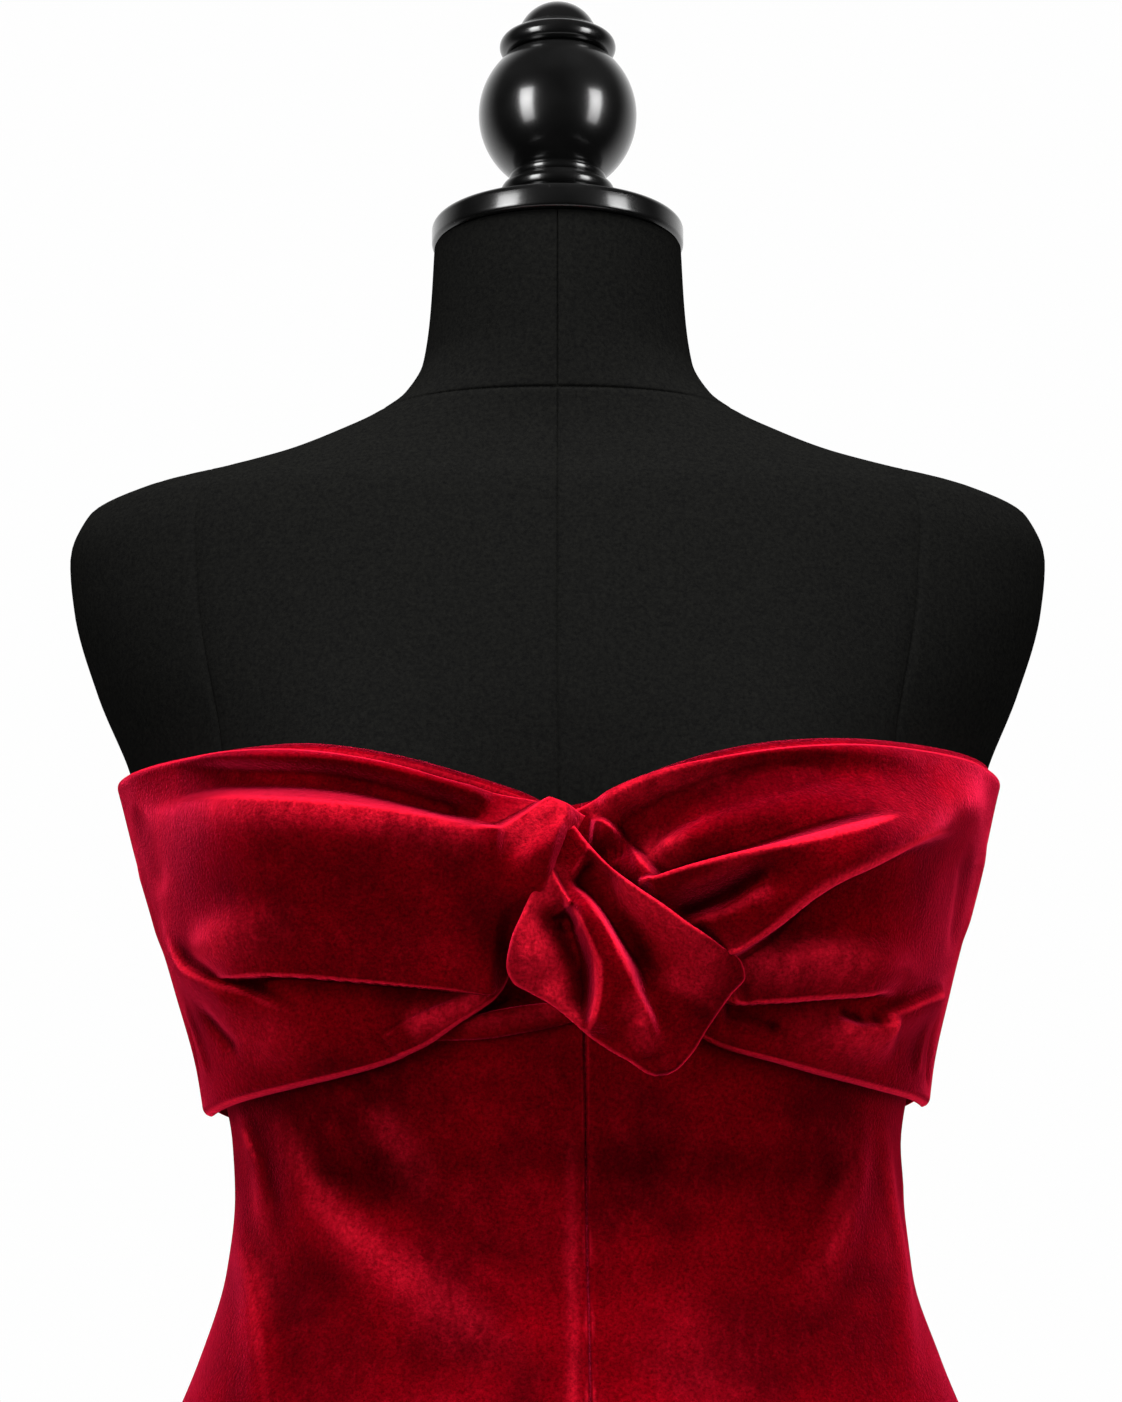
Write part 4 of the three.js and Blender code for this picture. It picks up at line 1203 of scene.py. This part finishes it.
def left_lift(u, v, turn, z):
    """The left band is full over the bust, flat at its seam, and turns under along the knot's edge."""
    fullness = LEFT_FULLNESS * smooth(turn, 172, 138) * domed(v, 0.45)
    fullness = fullness * (1 - 0.7 * smooth(turn, 112, 98) * smooth(z, 1130, 1110))
    crest = along(WRAP_CREST, turn, 1)
    below_crest = smooth(z, crest + 1.5, crest - 2.5)
    climb = WRAP_CLIMBS * smooth(turn, 118, 92) * smooth(z, 1108, 1144) * below_crest
    turned_under = smooth(u, 0.94, 1) ** 2 * smooth(z, 1128, 1140)
    seam = smooth(turn, LEFT_SIDE, LEFT_SIDE - AT_SEAM)
    shape = folds(LEFT_FOLDS, turn, z) * seam + folds(WRAP_FOLDS, turn, z)
    return loose(turn) + (stand_off(turn, z) + fullness + shape + climb) * (1 - 0.7 * turned_under)


def right_lift(u, v, turn, z):
    """The right band runs in under the knot, so its pleats are pressed flat there."""
    fullness = RIGHT_FULLNESS * smooth(turn, 86, 64) * smooth(turn, 10, 44) * domed(v, 0.45)
    stand = stand_off(turn, z) * smooth(turn, 64, 50)
    seam = smooth(turn, RIGHT_SIDE, RIGHT_SIDE + AT_SEAM)
    pleats = folds(RIGHT_FOLDS, turn, z) * seam
    return loose(turn) + stand + (fullness + pleats) * smooth(turn, 88, 80)


def back_lift(u, v, turn, z):
    """The back bands are flat strips, a little full between their two seams."""
    fullness = BACK_FULLNESS * domed(u, 0.5) * domed(v, 0.6)
    turn = np.where(turn < 0, turn + 360, turn)
    return loose(turn) + stand_off(turn, z) + fullness + folds(BACK_FOLDS, turn, z)


# Paler brushed pile on the bands, laid as painted highlight: along the ridges, round the side seams and at
# the flap's turned end.
LEFT_BRUSHED_AND_HIGHLIGHTS = [
    (0.5, 4, (7, 8), 0.3, 0.2, [(150, 1168), (140, 1162), (128, 1156), (116, 1151), (104, 1147)]),
    (0.7, 8, 9, 0.2, 0.1, [(104, 1143), (98, 1150), (92, 1156), (86, 1156)]),
    (0.55, 8, 6, 0.4, 0.5, [(162, 1108), (152, 1113), (143, 1116), (130, 1116)]),
    (0.8, (4, 5), 5, 0.15, 0.15, [(120, 1080), (112, 1086), (104, 1094)]),
    (0.4, 9, 9, 0.2, 0.2, [(176, 1184), (174, 1150), (172, 1110), (170, 1076)]),
    (0.3, 10, 10, 0.3, 0.4, [(158, 1090), (146, 1080), (132, 1078)]),
]
RIGHT_BRUSHED_AND_HIGHLIGHTS = [
    (0.6, 5, 6, 0.3, 0.4, [(76, 1142), (71, 1144), (65, 1146)]),
    (0.6, 5, 4, 0.05, 0.5, [(85, 1157), (77, 1164), (66, 1171), (54, 1177)]),
    (0.1, (7, 8), (8, 9), 0.3, 0.3, [(46, 1150), (38, 1159), (30, 1167), (20, 1176)]),
    (0.8, 6, (6, 7), 0.15, 0.4, [(62, 1105), (54, 1105.5), (44, 1107.5), (36, 1106)]),
    (0.5, 4, 5, 0.3, 0.3, [(44, 1083), (38, 1080), (32, 1083)]),
    (0.4, 9, 9, 0.2, 0.2, [(5, 1184), (6, 1150), (8, 1110), (10, 1076)]),
    (0.3, 10, 10, 0.3, 0.4, [(50, 1090), (40, 1078), (26, 1080)]),
]
BACK_BANDS_BRUSHED_AND_HIGHLIGHTS = [
    (0.4, (8, 9), (8, 9), 0.3, 0.3, [(196, 1150), (220, 1146), (246, 1142)]),
    (0.4, (8, 9), (8, 9), 0.3, 0.3, [(-20, 1150), (-42, 1146), (-66, 1142)]),
]

# A band eases off where it comes close to the bodice and never sinks into it, in square millimetres.
SOFT_CONTACT = 5


def ribbed(
    name, node, ribs, lift, brushed_and_highlight, columns, rows, edge, seams,
    thick=BAND_THICK, under=0, sag=(),
):
    """A strip of cloth from its first rib to its last. At a seam it stops half a gap short."""
    table = [(i / (len(ribs) - 1), *rib) for i, rib in enumerate(ribs)]
    onward = np.sign(ribs[-1][0] - ribs[0][0])

    def spot(u, v):
        z_low, z_top = along(table, u, HEIGHT_LOW), along(table, u, HEIGHT_TOP)
        t_low, t_top = along(table, u, TURN_LOW), along(table, u, TURN_TOP)
        return t_low + (t_top - t_low) * v, z_low + (z_top - z_low) * v

    def place(u, v, out):
        turn, z = spot(u, v)
        rise = lift(u, v, turn, z)
        height = BAND_UNDER + under + 0.5 * (rise + np.sqrt(rise**2 + SOFT_CONTACT))
        gap = np.degrees(SEAM_GAP / 2 / np.linalg.norm(dress_ground(turn, z), axis=-1)) * onward
        turn = turn + np.where((u == 0) & seams[0], gap, 0) - np.where((u == 1) & seams[1], gap, 0)
        points = lifted(dress_ground, turn, z, height + out)
        points[..., 2] -= folds(sag, turn, z)
        return points

    # The paler brushed pile, which is also painted highlight.
    def sweep_and_highlight(u, v):
        return folds(brushed_and_highlight, *spot(u, v))

    piece = shell(name, place, sweep_and_highlight, columns, rows, thick, edge, crowd=0.5)
    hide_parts(node)
    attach(piece, ROOT)


ribbed(
    "wrap_left", "band_left", LEFT_RIBS, left_lift, LEFT_BRUSHED_AND_HIGHLIGHTS,
    columns=250, rows=150, edge=(0.8, 6, ROLLED_EDGE, ROLLED_EDGE), seams=(True, False),
    sag=LEFT_SAG,
)
ribbed(
    "wrap_right", "band_right", RIGHT_RIBS, right_lift, RIGHT_BRUSHED_AND_HIGHLIGHTS,
    columns=240, rows=150, edge=(0.8, 3, ROLLED_EDGE, ROLLED_EDGE), seams=(True, False),
    sag=RIGHT_SAG,
)
for name, node, ribs in (
    ("wrap_back_left", "band_back_left", BACK_LEFT_RIBS),
    ("wrap_back_right", "band_back_right", BACK_RIGHT_RIBS),
):
    ribbed(
        name, node, ribs, back_lift, BACK_BANDS_BRUSHED_AND_HIGHLIGHTS,
        columns=110, rows=60, edge=(0.8, 0.8, ROLLED_EDGE, ROLLED_EDGE), seams=(True, True),
    )

# ---- tied ends ----
# The band's free end comes out from under the knot, fans open and hangs to a blunt corner. It is
# double, so its edges are rolls. The other end is a narrow strip that goes behind it.

# Ribs from its right edge (upper) to its left edge (lower).
TAIL_RIBS = [
    (87, 1152, 91.5, 1147),
    (84.5, 1146, 94.5, 1134),
    (80.5, 1138, 98, 1120),
    (75, 1129, 100.2, 1109),
    (69.7, 1121, 100.8, 1101),
    (65.9, 1114, 99.6, 1095),
    (61.5, 1107, 96, 1091),
    (58.8, 1102.5, 92.4, 1087),
    (58.2, 1097.5, 88.8, 1081.5),
    (60.5, 1091, 85.2, 1075.5),
    (63.9, 1080, 81.3, 1070.5),
    (66.6, 1070.5, 78, 1067),
    (69.2, 1064.5, 74.8, 1063),
    (70.8, 1062.6, 73.2, 1062),
]
TAIL_FOLDS = [
    # the long fold down its middle, steep on its right, with a dark trough beside it
    (8.5, (2.6, 3), (9, 8), 0.3, 0.25,
     [(88.6, 1134), (86.1, 1129.5), (82, 1116), (79, 1102), (76.8, 1089), (74.5, 1078), (73, 1067)]),
    (-12.0, 10, 2.4, 0.1, 0.55, [(88, 1134), (83.6, 1126.5), (79.2, 1114), (75.4, 1100), (73, 1087)]),
    # the fold's own left edge, which lies over the lobe
    (8.5, 9, 1.8, 0.35, 0.1,
     [(90.6, 1132), (88.4, 1124), (85.2, 1112), (83.5, 1100), (83.8, 1088), (85.6, 1076)]),
    (-7.0, 1.5, (7, 5), 0.12, 0.2, [(90.6, 1126), (87.6, 1112), (85.8, 1100), (86, 1088), (87.6, 1080)]),
    # the lobe on the left, its rolled upper edge and the dimple below its hook
    (6.5, 8, (9, 7), 0.2, 0.3, [(97.5, 1134), (99, 1118), (97.4, 1104), (93.6, 1093)]),
    (6.5, (1.4, 1.5), (7, 5), 0.4, 0.08, [(92.8, 1138), (91.6, 1132), (89.8, 1126), (88.6, 1121)]),
    (-9.0, 2.6, 3, 0.3, 0.4, [(89.8, 1120), (88.6, 1117), (88, 1113)]),
    # the broad face on the right, its rolled upper edge and the glint near the tip
    (8.0, (12, 10), (12, 9), 0.2, 0.3, [(80, 1137), (72, 1123), (65, 1109), (64, 1097), (67, 1083)]),
    (3.0, 3, 4, 0.15, 0.15, [(85, 1146), (76.5, 1132), (69.5, 1121), (61.5, 1107.5)]),
    (3.0, 2.5, 4, 0.3, 0.3, [(78, 1082), (76, 1075), (74.4, 1067)]),
]

# The lobe shows the pile from its other side, so it is paler all over; this and the paler strokes along the
# rolled edge, over the right face and near the tip are also painted highlight.
TAIL_BRUSHED_AND_HIGHLIGHTS = [
    (1.0, (8, 7), (16, 14), 0.05, 0.1, [(93, 1140), (94.5, 1122), (94, 1104), (90, 1088), (86, 1078)]),
    (0.35, 3, 6, 0.2, 0.2, [(84, 1142), (76, 1129), (68, 1117), (62, 1106)]),
    (0.5, 4, 5, 0.3, 0.2, [(78, 1092), (76, 1080), (74.6, 1068)]),
    (0.5, 9, 12, 0.1, 0.1, [(77, 1134), (70, 1118), (66, 1104), (69, 1088)]),
]
# Paler brushed pile along the strip's roll, laid as painted highlight.
STRIP_BRUSHED_AND_HIGHLIGHTS = [(0.3, 3, 3, 0.2, 0.2, [(112, 1081), (98, 1085), (88, 1087)])]

TAIL_OVER_BAND = 9.3
TAIL_HANGS_OFF = 5
TIP_HANGS_OFF = 8


def tail_lift(u, v, turn, z):
    """It hangs a little further from the bodice towards its tip."""
    towards_tip = (TIP_HANGS_OFF - TAIL_HANGS_OFF) * smooth(z, 1134, 1074)
    return TAIL_HANGS_OFF + towards_tip + folds(TAIL_FOLDS, turn, z)


ribbed(
    "tie_end_hanging", "tie_tail", TAIL_RIBS, tail_lift, TAIL_BRUSHED_AND_HIGHLIGHTS,
    columns=150, rows=130, edge=(1, 2, 3.4, 3.4), seams=(False, False),
    thick=3.2, under=TAIL_OVER_BAND,
)

STRIP_RIBS = [
    (116, 1079.5, 116, 1077),
    (110, 1084, 110.5, 1077),
    (104, 1087.5, 105, 1077.5),
    (97, 1089.5, 98, 1079.5),
    (91, 1090.5, 92, 1081.5),
    (86.5, 1091, 87, 1084),
]
STRIP_FOLDS = [(1.2, 2, 3, 0.2, 0.1, [(112, 1082), (104, 1084.5), (96, 1086), (88, 1087.5)])]

STRIP_OFF_BAND = 0.6


def strip_lift(u, v, turn, z):
    """It lies close to the band."""
    return STRIP_OFF_BAND + folds(STRIP_FOLDS, turn, z)


ribbed(
    "tie_end_narrow", "tie_strip", STRIP_RIBS, strip_lift, STRIP_BRUSHED_AND_HIGHLIGHTS,
    columns=60, rows=20, edge=(1.5, 1.5, 2, 2), seams=(False, False),
    thick=2,
)


# ---- zip slider and pull ----
# A die-cast zinc slider in dull nickel plate, with a stamped tab that swings on its pin. They stay
# as the frame has them.
def nickel_colour(tree):
    marks = grain(tree, 0.5, detail=4)
    bump(tree, marks, 0.00003, 0.3)
    return between(tree, marks, 0.3, 0.7, "#8A8680", "#ACA79F")


plated_zinc = finish("nickel_plated_zinc", nickel_colour, {"Metallic": 1.0, "Roughness": 0.32})
for node in ("zip_slider", "zip_pull"):
    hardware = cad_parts[node]
    hardware.data.materials.clear()
    hardware.data.materials.append(plated_zinc)
